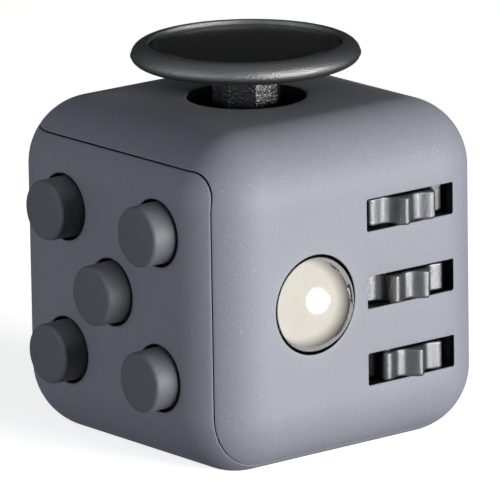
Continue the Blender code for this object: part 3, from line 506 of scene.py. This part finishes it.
# %% Cutters for the case
JOINT_INSET = 2.83 * MM     # the joint line, in from the faces that it runs beside
JOINT_LINE = 0.12 * MM
JOINT_RADIUS = 2.6 * MM
SPACE = 40 * MM             # past the cube on any side
EASE = 0.12 * MM            # the round at the mouth of every hole
BUTTON_HOLE = 3.2 * MM
EDGE_BREAK = 0.07 * MM      # the round along the joint's edge
SKIN = 0.1 * MM             # how deep under the outside faces keep the lacquer; deeper ones get the painted hole shade
DISH_RADIUS, DISH_DEPTH, DISH_RIM = 9.5 * MM, 2.2 * MM, 1.4 * MM


def joint_block(name, inset):
    """The part of space that belongs to the lower half."""
    reach = HALF - inset
    return rounded_cube(name, (-SPACE, -SPACE, -SPACE), (reach, reach, HEIGHT - inset),
                        JOINT_RADIUS, 8, 6)


def mouth(radius, height=0.0):
    """The flare of a round cutter as it leaves a face: outline points up past the face."""
    arc = [math.radians(15 * k) for k in range(7)]
    flare = [(radius + EASE * (1 - math.cos(a)), height - EASE * (1 - math.sin(a))) for a in arc]
    return flare + [(radius + EASE, MM), (0, MM)]


def bore(name, radius, depth, spot, face):
    """A round cutter that enters a face."""
    outline = [(0, -depth), (radius, -depth)] + mouth(radius)
    return spun(name, outline, place=face @ Matrix.Translation((spot[0], spot[1], 0)), steps=72)


def slot_cutter(name, half_wide, half_high, corner, spot, face):
    """A cutter with a rounded rectangle for its section, flared like a bore."""
    bm = bmesh.new()
    around = 24
    levels = [(0.0, -2 * WALL), (0.0, -EASE)]
    levels += [(EASE * (1 - math.cos(a)), -EASE * (1 - math.sin(a)))
               for a in (math.radians(15 * k) for k in range(1, 7))]
    levels.append((EASE, MM))
    loops = []
    for wider, height in levels:
        loop = []
        for turn in range(around):
            a = math.radians(360 / around * (turn + 0.5))
            side_x = math.copysign(half_wide - corner, math.cos(a))
            side_y = math.copysign(half_high - corner, math.sin(a))
            reach = corner + wider
            loop.append(bm.verts.new((side_x + reach * math.cos(a), side_y + reach * math.sin(a), height)))
        loops.append(loop)
    for one, two in zip(loops, loops[1:]):
        for k in range(around):
            n = (k + 1) % around
            bm.faces.new((one[k], one[n], two[n], two[k]))
    bm.faces.new(list(reversed(loops[0])))
    bm.faces.new(loops[-1])
    return settle(name, bm, None, face @ Matrix.Translation((spot[0], spot[1], 0)))


def below_skin(point):
    """How far a point lies under the outside of the whole cube; above it, the depth is negative."""
    core = Vector((HALF - CASE_RADIUS, HALF - CASE_RADIUS, MIDDLE - CASE_RADIUS))
    local = (abs(point.x), abs(point.y), abs(point.z - MIDDLE))
    past = Vector([max(p - c, 0) for p, c in zip(local, core)])
    return CASE_RADIUS - past.length if past.length else CASE_RADIUS


def finish_half(half, kept):
    """Eases the joint's edge, and paints whatever lies under the skin near-black, as painted shade in the
    holes.
    """
    break_edges(half, EDGE_BREAK, wanted=lambda p: below_skin(p) < SKIN / 10)
    # Faces under the skin take the near-black painted shade of the holes; the kept ones stay lacquered.
    half.data.materials.append(HOLE_SHADE_ABS)
    for face in half.data.polygons:
        if below_skin(face.center) > SKIN and not kept(face.center):
            face.material_index = 1


def dish_bowl():
    """A shallow ball-shaped hollow whose lip runs out softly."""
    sphere = (DISH_RADIUS ** 2 + DISH_DEPTH ** 2) / (2 * DISH_DEPTH)
    reach = math.asin(DISH_RADIUS / sphere)
    curve = [(sphere * math.sin(a), DISH_DEPTH - sphere + sphere * math.cos(a))
             for a in (reach * k / 24 for k in range(25))]
    lip = [(DISH_RADIUS + 0.25 * MM, -0.08 * MM), (DISH_RADIUS + 0.9 * MM, -0.3 * MM)]
    return spun("dish_bowl", curve + lip + [(0, -0.3 * MM)], steps=96)


# %% The lower half
BUTTONS = ("upper_left", "upper_right", "middle", "lower_left", "lower_right")
DIAL_RECESS = 0.8 * MM
DIAL_SHAFT_HOLE = 2.2 * MM
DIAL_RADIUS = (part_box("dial")[1].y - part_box("dial")[0].y) / 2


def lower_half():
    half = inset_cube("case_lower_half", 0, 12, 12, CASE_LACQUER)
    room = inset_cube("lower_room", WALL, 6, 4)
    pad = [(0, 0), (DISH_RADIUS + DISH_RIM, 0), (DISH_RADIUS + DISH_RIM, WALL + DISH_DEPTH),
           (0, WALL + DISH_DEPTH)]
    cut(room, [spun("dish_pad", pad, steps=64)])
    cut(half, [joint_block("joint_inside", JOINT_INSET + JOINT_LINE)], "INTERSECT")
    holes = [bore("hole_" + name, BUTTON_HOLE, 2 * WALL, seat("button_" + name, FRONT), FRONT)
             for name in BUTTONS]
    well = [(0, -2 * WALL), (DIAL_SHAFT_HOLE, -2 * WALL), (DIAL_SHAFT_HOLE, -DIAL_RECESS),
            (DIAL_RADIUS + GAP, -DIAL_RECESS)] + mouth(DIAL_RADIUS + GAP)
    cut(half, [room, dish_bowl(), spun("dial_well", well, place=LEFT)] + holes)
    finish_half(half, lambda p: p.z < WALL + DISH_DEPTH and math.hypot(p.x, p.y) < DISH_RADIUS + MM)
    return half


# %% The upper half
SLOT_CENTRE = 6.05 * MM     # of the slots, across the face
SLOT_HALF_WIDTH = 5.25 * MM
SLOT_HALF_HEIGHT = 1.525 * MM
SLOT_LIP = 1.2 * MM         # behind its lip a slot is wider, for the wheel
TOP_OPENING = 5.65 * MM
BALL_GAP = 0.18 * MM        # round the ball, all the way
GEARS = {"lower": 1.5, "middle": 11.0, "upper": 22.0}    # each wheel's turn at rest, in degrees



def ball_hollow():
    """The cup-shaped hole that lets the ball show but not fall out."""
    spot = seat("ball", RIGHT)
    radius = BALL_RADIUS + BALL_GAP
    rim = math.asin((-spot.z - EASE) / radius)
    turns = [-math.pi / 2 + (rim + math.pi / 2) * k / 40 for k in range(41)]
    outline = [(radius * math.cos(a), spot.z + radius * math.sin(a)) for a in turns]
    outline[0] = (0, outline[0][1])
    outline += mouth(outline[-1][0])[1:]
    return spun("ball_hollow", outline, place=RIGHT @ Matrix.Translation((spot.x, spot.y, 0)), steps=128)


def upper_half():
    half = inset_cube("case_upper_half", 0, 12, 12, CASE_LACQUER)
    tools = [joint_block("joint_outside", JOINT_INSET), inset_cube("upper_room", WALL, 6, 4)]
    for name in GEARS:
        up = seat("gear_" + name, RIGHT).y
        tools.append(slot_cutter("slot_" + name, SLOT_HALF_WIDTH, SLOT_HALF_HEIGHT, 0.2 * MM,
                                 (SLOT_CENTRE, up), RIGHT))
        reach = SLOT_HALF_WIDTH + GAP
        tools.append(brick("well_" + name, (SLOT_CENTRE - reach, up - SLOT_HALF_HEIGHT, -2 * WALL),
                           (SLOT_CENTRE + reach, up + SLOT_HALF_HEIGHT, -SLOT_LIP), RIGHT))
    tools.append(ball_hollow())
    tools.append(bore("joystick_opening", TOP_OPENING, 2 * WALL, (0, 0), TOP))
    tools.append(slot_cutter("rocker_opening", ROCKER_HALF_WIDTH + GAP, ROCKER_OPENING, 0.5 * MM,
                             (0, 0), BACK))
    cut(half, tools)
    finish_half(half, lambda p: False)
    return half


BALL_RADIUS = (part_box("ball")[1].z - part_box("ball")[0].z) / 2
ROCKER_HALF_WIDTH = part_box("rocker")[1].x
ROCKER_RADIUS = 7.8 * MM
ROCKER_PIVOT_DEPTH = 3.6 * MM
ROCKER_OPENING = math.sqrt(ROCKER_RADIUS ** 2 - (ROCKER_PIVOT_DEPTH - WALL) ** 2) + GAP
case_lower = lower_half()
case_upper = upper_half()
for half, node in ((case_lower, "shell_lower"), (case_upper, "shell_upper")):
    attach(half, "case")
    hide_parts(node)
    print(half.name, len(half.data.polygons), "faces")

# %% [markdown]
# ## The buttons
# Five short pegs with flat ends. Their moulded edge is a round of 0.35 mm, and the sides lean in by
# a hair so that they leave the mould. All five are alike, so one outline is spun five times, and
# each goes where its own node stands.

# %% Turn the five buttons
BUTTON_RADIUS = 2.9 * MM
BUTTON_DRAFT = 0.05 * MM
FLANGE_RADIUS = 3.55 * MM
button_low, button_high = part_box("button_middle")
BUTTON_FRONT = -button_low.y - HALF
BUTTON_BACK = -button_high.y - HALF
button_outline = eased([
    (0, BUTTON_FRONT),
    (BUTTON_RADIUS - BUTTON_DRAFT, BUTTON_FRONT, 0.35 * MM),
    (BUTTON_RADIUS, -WALL - GAP),
    (FLANGE_RADIUS, -WALL - GAP, 0.1 * MM),
    (FLANGE_RADIUS, BUTTON_BACK, 0.1 * MM),
    (0, BUTTON_BACK),
])
for name in BUTTONS:
    spot = seat("button_" + name, FRONT)
    key = spun("key_" + name, button_outline, KEY_LACQUER,
               FRONT @ Matrix.Translation((spot.x, spot.y, 0)))
    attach(key, "button_" + name)
    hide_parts("button_" + name)
print("buttons stand", round(BUTTON_FRONT / MM, 2), "mm proud")

# %% [markdown]
# ## The thumb wheels
# A wheel's rim is a wave: ten round teeth with wider hollows between them. A rule like that suits
# Geometry Nodes. A grid becomes the wheel: one way round it is the turn, the other way is the
# outline of a cut through the rim, whose corners a Fillet Curve rounds. The named inputs can be
# changed without touching the tree.

# %% A wheel in Geometry Nodes
GEAR_SIZES = {
    "Teeth": 10.0, "Radius": 5.75 * MM, "Bore": 1.3 * MM, "Tooth Depth": 1.05 * MM,
    "Tooth Power": 1.5, "Thickness": 2.65 * MM, "Edge Radius": 0.14 * MM,
}
POINTS_ROUND, POINTS_ALONG = 301, 161


def wheel_tree():
    tree = bpy.data.node_groups.new("thumb_wheel", "GeometryNodeTree")
    for name, value in GEAR_SIZES.items():
        made = tree.interface.new_socket(name, in_out="INPUT", socket_type="NodeSocketFloat")
        made.default_value = value
    tree.interface.new_socket("Geometry", in_out="OUTPUT", socket_type="NodeSocketGeometry")
    size = add(tree, "NodeGroupInput").outputs

    def maths(operation, *values):
        return add(tree, "ShaderNodeMath", dict(enumerate(values)), operation=operation).outputs[0]

    # The cut through the rim: a rectangle from the bore to the tooth tips, its corners rounded.
    width = maths("SUBTRACT", size["Radius"], size["Bore"])
    section = add(tree, "GeometryNodeCurvePrimitiveQuadrilateral", {
        "Width": width, "Height": size["Thickness"],
    })
    rounded = add(tree, "GeometryNodeFilletCurve", {
        "Curve": section.outputs["Curve"], "Radius": size["Edge Radius"],
    }, mode="BEZIER")
    evened = add(tree, "GeometryNodeResampleCurve", {
        "Curve": rounded.outputs["Curve"], "Count": POINTS_ALONG,
    })

    # A sheet of points: X counts round the wheel, Y along the outline.
    sheet = add(tree, "GeometryNodeMeshGrid", {
        "Size X": 1.0, "Size Y": 1.0, "Vertices X": POINTS_ROUND, "Vertices Y": POINTS_ALONG,
    })
    place = add(tree, "GeometryNodeInputPosition").outputs[0]
    split = add(tree, "ShaderNodeSeparateXYZ", {"Vector": place}).outputs
    turn = maths("MULTIPLY", maths("ADD", split["X"], 0.5), 2 * math.pi)
    along = maths("ADD", split["Y"], 0.5)
    sample = add(tree, "GeometryNodeSampleCurve", {
        "Curves": evened.outputs["Curve"], "Factor": along,
    }, mode="FACTOR", use_all_curves=True)
    point = add(tree, "ShaderNodeSeparateXYZ", {"Vector": sample.outputs["Position"]}).outputs

    # The wave: full at the tips, and none at the bore. A power over one narrows the teeth.
    share = maths("ADD", maths("DIVIDE", point["X"], width), 0.5)
    wave = maths("ADD", maths("MULTIPLY", maths("COSINE", maths("MULTIPLY", turn, size["Teeth"])), 0.5), 0.5)
    hollow = maths("SUBTRACT", 1.0, maths("POWER", wave, size["Tooth Power"]))
    inwards = maths("MULTIPLY", maths("MULTIPLY", hollow, size["Tooth Depth"]), share)
    reach = maths("ADD", size["Bore"], maths("MULTIPLY", share, width))
    radius = maths("SUBTRACT", reach, inwards)
    spot = add(tree, "ShaderNodeCombineXYZ", {
        "X": maths("MULTIPLY", radius, maths("COSINE", turn)),
        "Y": maths("MULTIPLY", radius, maths("SINE", turn)),
        "Z": point["Y"],
    })
    bent = add(tree, "GeometryNodeSetPosition", {
        "Geometry": sheet.outputs["Mesh"], "Position": spot.outputs["Vector"],
    })
    closed = add(tree, "GeometryNodeMergeByDistance", {
        "Geometry": bent.outputs["Geometry"], "Distance": 0.001 * MM,
    })
    real = add(tree, "GeometryNodeRealizeInstances", {"Geometry": closed.outputs["Geometry"]})
    dressed = add(tree, "GeometryNodeSetMaterial", {
        "Geometry": real.outputs["Geometry"], "Material": GEAR_METAL,
    })
    add(tree, "NodeGroupOutput", {"Geometry": dressed.outputs["Geometry"]})
    return tree


# %% Make the three wheels
def made_by(tree, values):
    """Runs a tree on an empty mesh and returns what it makes as a plain mesh."""
    carrier = bpy.data.objects.new("carrier", bpy.data.meshes.new("carrier"))
    bpy.context.scene.collection.objects.link(carrier)
    growth = carrier.modifiers.new("growth", "NODES")
    growth.node_group = tree
    for item in tree.interface.items_tree:
        if item.in_out == "INPUT" and item.name in values:
            growth[item.identifier] = values[item.name]
    graph = bpy.context.evaluated_depsgraph_get()
    mesh = bpy.data.meshes.new_from_object(carrier.evaluated_get(graph))
    bpy.data.objects.remove(carrier)
    return mesh


wheel = made_by(wheel_tree(), GEAR_SIZES)
for name, phase in GEARS.items():
    low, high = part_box("gear_" + name)
    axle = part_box("gear_axle")
    centre = Vector(((axle[0].x + axle[1].x) / 2, (axle[0].y + axle[1].y) / 2, (low.z + high.z) / 2))
    bm = bmesh.new()
    bm.from_mesh(wheel)
    turned = Matrix.Translation(centre) @ Matrix.Rotation(math.radians(phase), 4, "Z")
    piece = settle("wheel_" + name, bm, GEAR_METAL, turned, sharp=50)
    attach(piece, "gear_" + name)
    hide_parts("gear_" + name)
print("wheel:", len(wheel.vertices), "points,", GEAR_SIZES["Teeth"], "teeth")

# %% [markdown]
# ## The ball
# A steel ball needs an even mesh, or its mirror finish shows the poles of a globe. An icosphere has
# triangles of nearly one size all over, and each point is set on the true radius.

# %% The ball
bm = bmesh.new()
bmesh.ops.create_icosphere(bm, subdivisions=6, radius=BALL_RADIUS)
ball_low, ball_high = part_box("ball")
ball = settle("bearing_ball", bm, BALL_STEEL, Matrix.Translation((ball_low + ball_high) / 2), 180)
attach(ball, "ball")
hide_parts("ball")
print("ball:", round(2 * BALL_RADIUS / MM, 2), "mm")

# %% [markdown]
# ## The joystick
# Its cap is a flat round knob, turned in the mould with an eight-sided post below it. Where the two
# halves of the mould met, a fine ridge runs round the rim. A polished disc lies in the recess on
# top. The cap is spun, the post is an octagon drawn up from its outline, and a Boolean joins them so
# that they are one moulding, as they really are.

# %% The cap's outline
CAP_UNDER, CAP_EQUATOR, CAP_TOP = 3.15 * MM, 4.05 * MM, 5.25 * MM
CAP_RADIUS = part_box("joystick_cap")[1].x
RECESS_RADIUS = 9.0 * MM
RECESS_FLOOR = 4.35 * MM
FLASH = 0.05 * MM           # how far the mould's ridge stands out
POST_FLATS = 6.15 * MM
POST_BOTTOM = 3.1 * MM
POST_INTO_CAP = 0.5 * MM
RIM_WIDTH = 1.5 * MM        # from the flat on top out to the rim


def quarter(centre_r, centre_h, wide, high, start, end, count=10):
    """Part of an ellipse as outline points; angles in degrees from the outward side."""
    angles = [math.radians(start + (end - start) * k / count) for k in range(count + 1)]
    return [(centre_r + wide * math.cos(a), centre_h + high * math.sin(a)) for a in angles]


def cap_outline():
    side = CAP_RADIUS - FLASH - RIM_WIDTH
    recess = eased([
        (0, RECESS_FLOOR), (RECESS_RADIUS, RECESS_FLOOR, 0.12 * MM),
        (RECESS_RADIUS + 0.1 * MM, CAP_TOP, 0.14 * MM), (side, CAP_TOP),
    ], steps=5)[:-1]
    rim = quarter(side, CAP_EQUATOR, RIM_WIDTH, CAP_TOP - CAP_EQUATOR, 90, 2, 14)
    ridge = [(CAP_RADIUS - FLASH, CAP_EQUATOR + 0.03 * MM), (CAP_RADIUS, CAP_EQUATOR + 0.02 * MM),
             (CAP_RADIUS, CAP_EQUATOR - 0.02 * MM), (CAP_RADIUS - FLASH, CAP_EQUATOR - 0.03 * MM)]
    under = quarter(side, CAP_EQUATOR, RIM_WIDTH, CAP_EQUATOR - CAP_UNDER, -4, -90, 10)
    return recess + rim + ridge + under + [(0, CAP_UNDER)]


# %% Cap and post in one
def octagon(name, flats, low, high, place, material):
    bm = bmesh.new()
    corner = flats / 2 / math.cos(math.pi / 8)
    bmesh.ops.create_cone(bm, cap_ends=True, segments=8, radius1=corner, radius2=corner,
                          depth=high - low)
    bmesh.ops.rotate(bm, verts=bm.verts[:], matrix=Matrix.Rotation(math.pi / 8, 3, "Z"))
    bmesh.ops.translate(bm, verts=bm.verts[:], vec=(0, 0, (low + high) / 2))
    bmesh.ops.bevel(bm, geom=bm.edges[:], offset=0.1 * MM, segments=3, profile=0.5, affect="EDGES")
    return settle(name, bm, material, place)


stick_cap = spun("stick_cap", cap_outline(), CAP_ABS, TOP, steps=160)
stick_cap.data.materials.append(POST_ABS_SHADED)
post = octagon("stick_post", POST_FLATS, -POST_BOTTOM, CAP_UNDER + POST_INTO_CAP, TOP, POST_ABS_SHADED)
cut(stick_cap, [post], "UNION")
stick_cap.data.shade_smooth()
stick_cap.data.set_sharp_from_angle(angle=math.radians(40))
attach(stick_cap, "joystick")
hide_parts("joystick_cap")
print("cap:", [m.name for m in stick_cap.data.materials])

# %% The polished disc
DISC_RADIUS = RECESS_RADIUS - 0.12 * MM
DISC_TOP, DISC_UNDER = 4.9 * MM, 4.5 * MM
GROOVE_IN, GROOVE_OUT, GROOVE_FLOOR = 8.0 * MM, 8.25 * MM, 4.8 * MM
GROOVE_SLOPE = 0.1 * MM     # each side of the groove leans outwards by this
disc_outline = eased([
    (0, DISC_TOP + 0.02 * MM), (GROOVE_IN - GROOVE_SLOPE, DISC_TOP, 0.1 * MM),
    (GROOVE_IN, GROOVE_FLOOR), (GROOVE_OUT, GROOVE_FLOOR),
    (GROOVE_OUT + GROOVE_SLOPE, DISC_TOP, 0.1 * MM), (DISC_RADIUS, DISC_TOP - 0.02 * MM, 0.06 * MM),
    (DISC_RADIUS, DISC_UNDER), (0, DISC_UNDER),
], steps=4)
disc = spun("stick_disc", disc_outline, DISC_ACRYLIC, TOP, steps=128)
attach(disc, "joystick")
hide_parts("joystick_insert")
print("disc:", len(disc.data.polygons), "faces")

# %% [markdown]
# ## The dial and the rocker
# The dial is a flat disc with a raised nub for the finger. Its face is very slightly hollow, so that
# light moves over it as it turns. The rocker is a bent bar: two flats that meet in a shallow
# valley over the pin, with ends that are arcs round that pin, so that the gap stays the same as it
# tips.

# %% The dial
DIAL_PROUD = 1.3 * MM
DIAL_HOLLOW = 0.15 * MM     # how far the middle of its face lies below the edge
DIAL_SHAFT, DIAL_SHAFT_END = 1.9 * MM, 2.2 * MM
NUB_RADIUS, NUB_HEIGHT, NUB_OUT = 1.7 * MM, 1.2 * MM, 4.7 * MM
dial_outline = eased([
    (0, DIAL_PROUD - DIAL_HOLLOW), (6.6 * MM, DIAL_PROUD, 6 * MM), (DIAL_RADIUS, DIAL_PROUD, 0.4 * MM),
    (DIAL_RADIUS, GAP - DIAL_RECESS, 0.1 * MM), (DIAL_SHAFT, GAP - DIAL_RECESS),
    (DIAL_SHAFT, -DIAL_SHAFT_END), (0, -DIAL_SHAFT_END),
])
dial = spun("spinner_dial", dial_outline, KEY_LACQUER, LEFT, steps=128)
nub = quarter(0, DIAL_PROUD - 0.1 * MM, NUB_RADIUS, NUB_HEIGHT + 0.1 * MM, 90, 0, 14)
nub += [(NUB_RADIUS, DIAL_PROUD - 0.6 * MM), (0, DIAL_PROUD - 0.6 * MM)]
cut(dial, [spun("dial_nub", nub, place=LEFT @ Matrix.Translation((0, NUB_OUT, 0)), steps=48)], "UNION")
break_edges(dial, 0.12 * MM)
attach(dial, "dial")
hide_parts("dial")
print("dial:", round(2 * DIAL_RADIUS / MM, 2), "mm across")


# %% The rocker
ROCKER_TILT = math.radians(9)
ROCKER_HUB = 1.6 * MM
ROCKER_SKIRT = 2.0 * MM
ROCKER_PROUD = BUTTON_FRONT


def rocker_bar():
    """The bar's side view, drawn level round the pin, then drawn out to its width."""
    raised = math.acos((ROCKER_PIVOT_DEPTH + ROCKER_PROUD) / ROCKER_RADIUS) + ROCKER_TILT
    shoulder = math.acos(ROCKER_SKIRT / ROCKER_RADIUS)
    top = (ROCKER_RADIUS * math.sin(raised), ROCKER_RADIUS * math.cos(raised))
    valley = top[1] - top[0] * math.tan(ROCKER_TILT)
    right = quarter(0, 0, ROCKER_RADIUS, ROCKER_RADIUS, 90 - math.degrees(raised),
                    90 - math.degrees(shoulder), 14)
    right += quarter(0, 0, ROCKER_HUB, ROCKER_HUB, -10, -90, 8)
    left = [(-u, v) for u, v in reversed(right[:-1])]
    bm = bmesh.new()
    outline = [bm.verts.new((-ROCKER_HALF_WIDTH, u, v)) for u, v in [(0, valley)] + right + left]
    grown = bmesh.ops.extrude_face_region(bm, geom=[bm.faces.new(outline)])
    moved = [v for v in grown["geom"] if isinstance(v, bmesh.types.BMVert)]
    bmesh.ops.translate(bm, verts=moved, vec=(2 * ROCKER_HALF_WIDTH, 0, 0))
    pin = Matrix.Translation((0, 0, -ROCKER_PIVOT_DEPTH)) @ Matrix.Rotation(ROCKER_TILT, 4, "X")
    bar = settle("rocker_bar", bm, KEY_LACQUER, BACK @ pin)
    break_edges(bar, 0.3 * MM, 30)
    return bar


rocker = rocker_bar()
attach(rocker, "rocker")
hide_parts("rocker")
print("rocker:", len(rocker.data.polygons), "faces")

# %% [markdown]
# ## Floor, light and camera
# The cube stands on a light table, a milky acrylic sheet lit from below, so the floor is white and
# the shadow on it is faint. A broad low lamp, the key, stands to its right and a little behind, so
# the face with the ball is bright and the light fades softly round the corners. A weak lamp, the
# fill, opens the face with the buttons. A white sheet round the camera's side is a painted
# reflection: the room shows it to reflections alone, as a cream glow in the steel ball. The camera is
# far off with a long lens, which keeps the cube's edges almost parallel.

# %% The floor
FLOOR_GLOW = 0.72        # a light table: the board is lit from below as well


def pale_floor():
    bm = bmesh.new()
    bmesh.ops.create_grid(bm, x_segments=1, y_segments=1, size=3.0)
    material, tree, where = recipe("milky_acrylic_sheet")
    fibres = add(tree, "ShaderNodeTexNoise", {"Vector": where, "Scale": per(30 * MM)})
    base = add(tree, "ShaderNodeMix", {
        "Factor": fibres.outputs["Fac"], "A": colour("#F4F4F4"), "B": colour("#F7F7F7"),
    }, data_type="RGBA")
    finish_recipe(tree, {
        "Base Color": base.outputs["Result"], "Roughness": 0.9,
        "Emission Color": colour("#FFFFFF"), "Emission Strength": FLOOR_GLOW,
    })
    return settle("floor", bm, material)


# The table's glow shows to the camera alone: all the light on the cube is from the lamps and room.
table = pale_floor()
table.visible_diffuse = False
table.visible_glossy = False


# %% Lamps and room
def lamp(name, turn, rise, distance, wide, high, power, tint="#FFFFFF"):
    """A soft box aimed at the cube: turn is from +X towards -Y, rise above the floor, in degrees."""
    turn, rise = math.radians(turn), math.radians(rise)
    aim = Vector((math.cos(turn) * math.cos(rise), -math.sin(turn) * math.cos(rise), math.sin(rise)))
    light = bpy.data.lights.new(name, "AREA")
    light.shape = "RECTANGLE"
    light.size, light.size_y = wide, high
    light.energy = power
    light.color = colour(tint)[:3]
    holder = bpy.data.objects.new(name, light)
    holder.location = Vector((0, 0, MIDDLE)) + aim * distance
    holder.rotation_euler = aim.to_track_quat("Z", "Y").to_euler()
    bpy.context.scene.collection.objects.link(holder)
    return holder


key_lamp = lamp("key", turn=-13, rise=4.5, distance=0.6, wide=0.36, high=0.12, power=12.3,
                tint="#FFFDF8")
fill_lamp = lamp("fill", turn=95, rise=8, distance=0.6, wide=0.3, high=0.16, power=2.3,
                 tint="#F4F8FF")
print("lamps:", key_lamp.name, fill_lamp.name)

# The sheet and the window are painted reflections: the room shows them to glossy rays alone.
SHEET = Vector((0.76, -0.62, 0.2))      # the way to the middle of the white sheet
WINDOW = Vector((0.99, 0.06, 0.13))     # and to the middle of the key lamp's bright window
SHEET_FADE = (-0.75, 0.1)               # cosines between which each of them comes up to full
WINDOW_FADE = (0.9, 0.94)


def patch(tree, toward, ends, levels):
    """A soft round patch of light round one direction, fading between two dot products."""
    near = add(tree, "ShaderNodeVectorMath", {
        0: add(tree, "ShaderNodeTexCoord").outputs["Generated"], 1: toward,
    }, operation="DOT_PRODUCT")
    return add(tree, "ShaderNodeMapRange", {
        "Value": near.outputs["Value"], "From Min": ends[0], "From Max": ends[1],
        "To Min": levels[0], "To Max": levels[1],
    }).outputs["Result"]


def room(level, seen, sheet, window):
    """The room's light: white to the eye, and dim on the cube beside the lamps.

    A white sheet round the camera's side of the table, and the key lamp's glow through it, are painted
    reflections: glossy rays alone see them, so they light nothing and show only in the polished parts.
    """
    world = bpy.data.worlds.new("room")
    bpy.context.scene.world = world
    world.use_nodes = True
    tree = world.node_tree
    tree.nodes.clear()
    ways = add(tree, "ShaderNodeLightPath").outputs
    mirrored = add(tree, "ShaderNodeMath", {
        0: patch(tree, SHEET, SHEET_FADE, (level, sheet)),
        1: patch(tree, WINDOW, WINDOW_FADE, (0.0, window)),
    }, operation="ADD")
    beside = add(tree, "ShaderNodeMix", {
        "Factor": ways["Is Glossy Ray"], "A": level, "B": mirrored.outputs["Value"],
    }, data_type="FLOAT")
    power = add(tree, "ShaderNodeMix", {
        "Factor": ways["Is Camera Ray"], "A": beside.outputs["Result"], "B": seen,
    }, data_type="FLOAT")
    background = add(tree, "ShaderNodeBackground", {
        "Color": colour("#FFFFFF"), "Strength": power.outputs["Result"],
    })
    add(tree, "ShaderNodeOutputWorld", {"Surface": background.outputs["Background"]})


room(level=0.035, seen=1.0, sheet=1.05, window=1.6)
bpy.context.scene.view_settings.view_transform = "Standard"

# %% The camera
CAMERA_PLACE = Vector((0.5318, -0.4285, 0.1901))
CAMERA_TURN, CAMERA_DOWN, CAMERA_ROLL = map(math.radians, (141.13, 14.2, 0.91))
lens = bpy.data.cameras.new("camera")
lens.lens = 539.7
lens.sensor_width = 36
lens.clip_start = 0.01
camera = bpy.data.objects.new("camera", lens)
looking = Vector((math.cos(CAMERA_DOWN) * math.cos(CAMERA_TURN),
                  math.cos(CAMERA_DOWN) * math.sin(CAMERA_TURN), -math.sin(CAMERA_DOWN)))
camera.location = CAMERA_PLACE
camera.rotation_mode = "QUATERNION"
camera.rotation_quaternion = looking.to_track_quat("-Z", "Y") @ Quaternion((0, 0, 1), -CAMERA_ROLL)
bpy.context.scene.collection.objects.link(camera)
bpy.context.scene.camera = camera
print("camera is", round((CAMERA_PLACE - Vector((0, 0, MIDDLE))).length, 3), "m away")
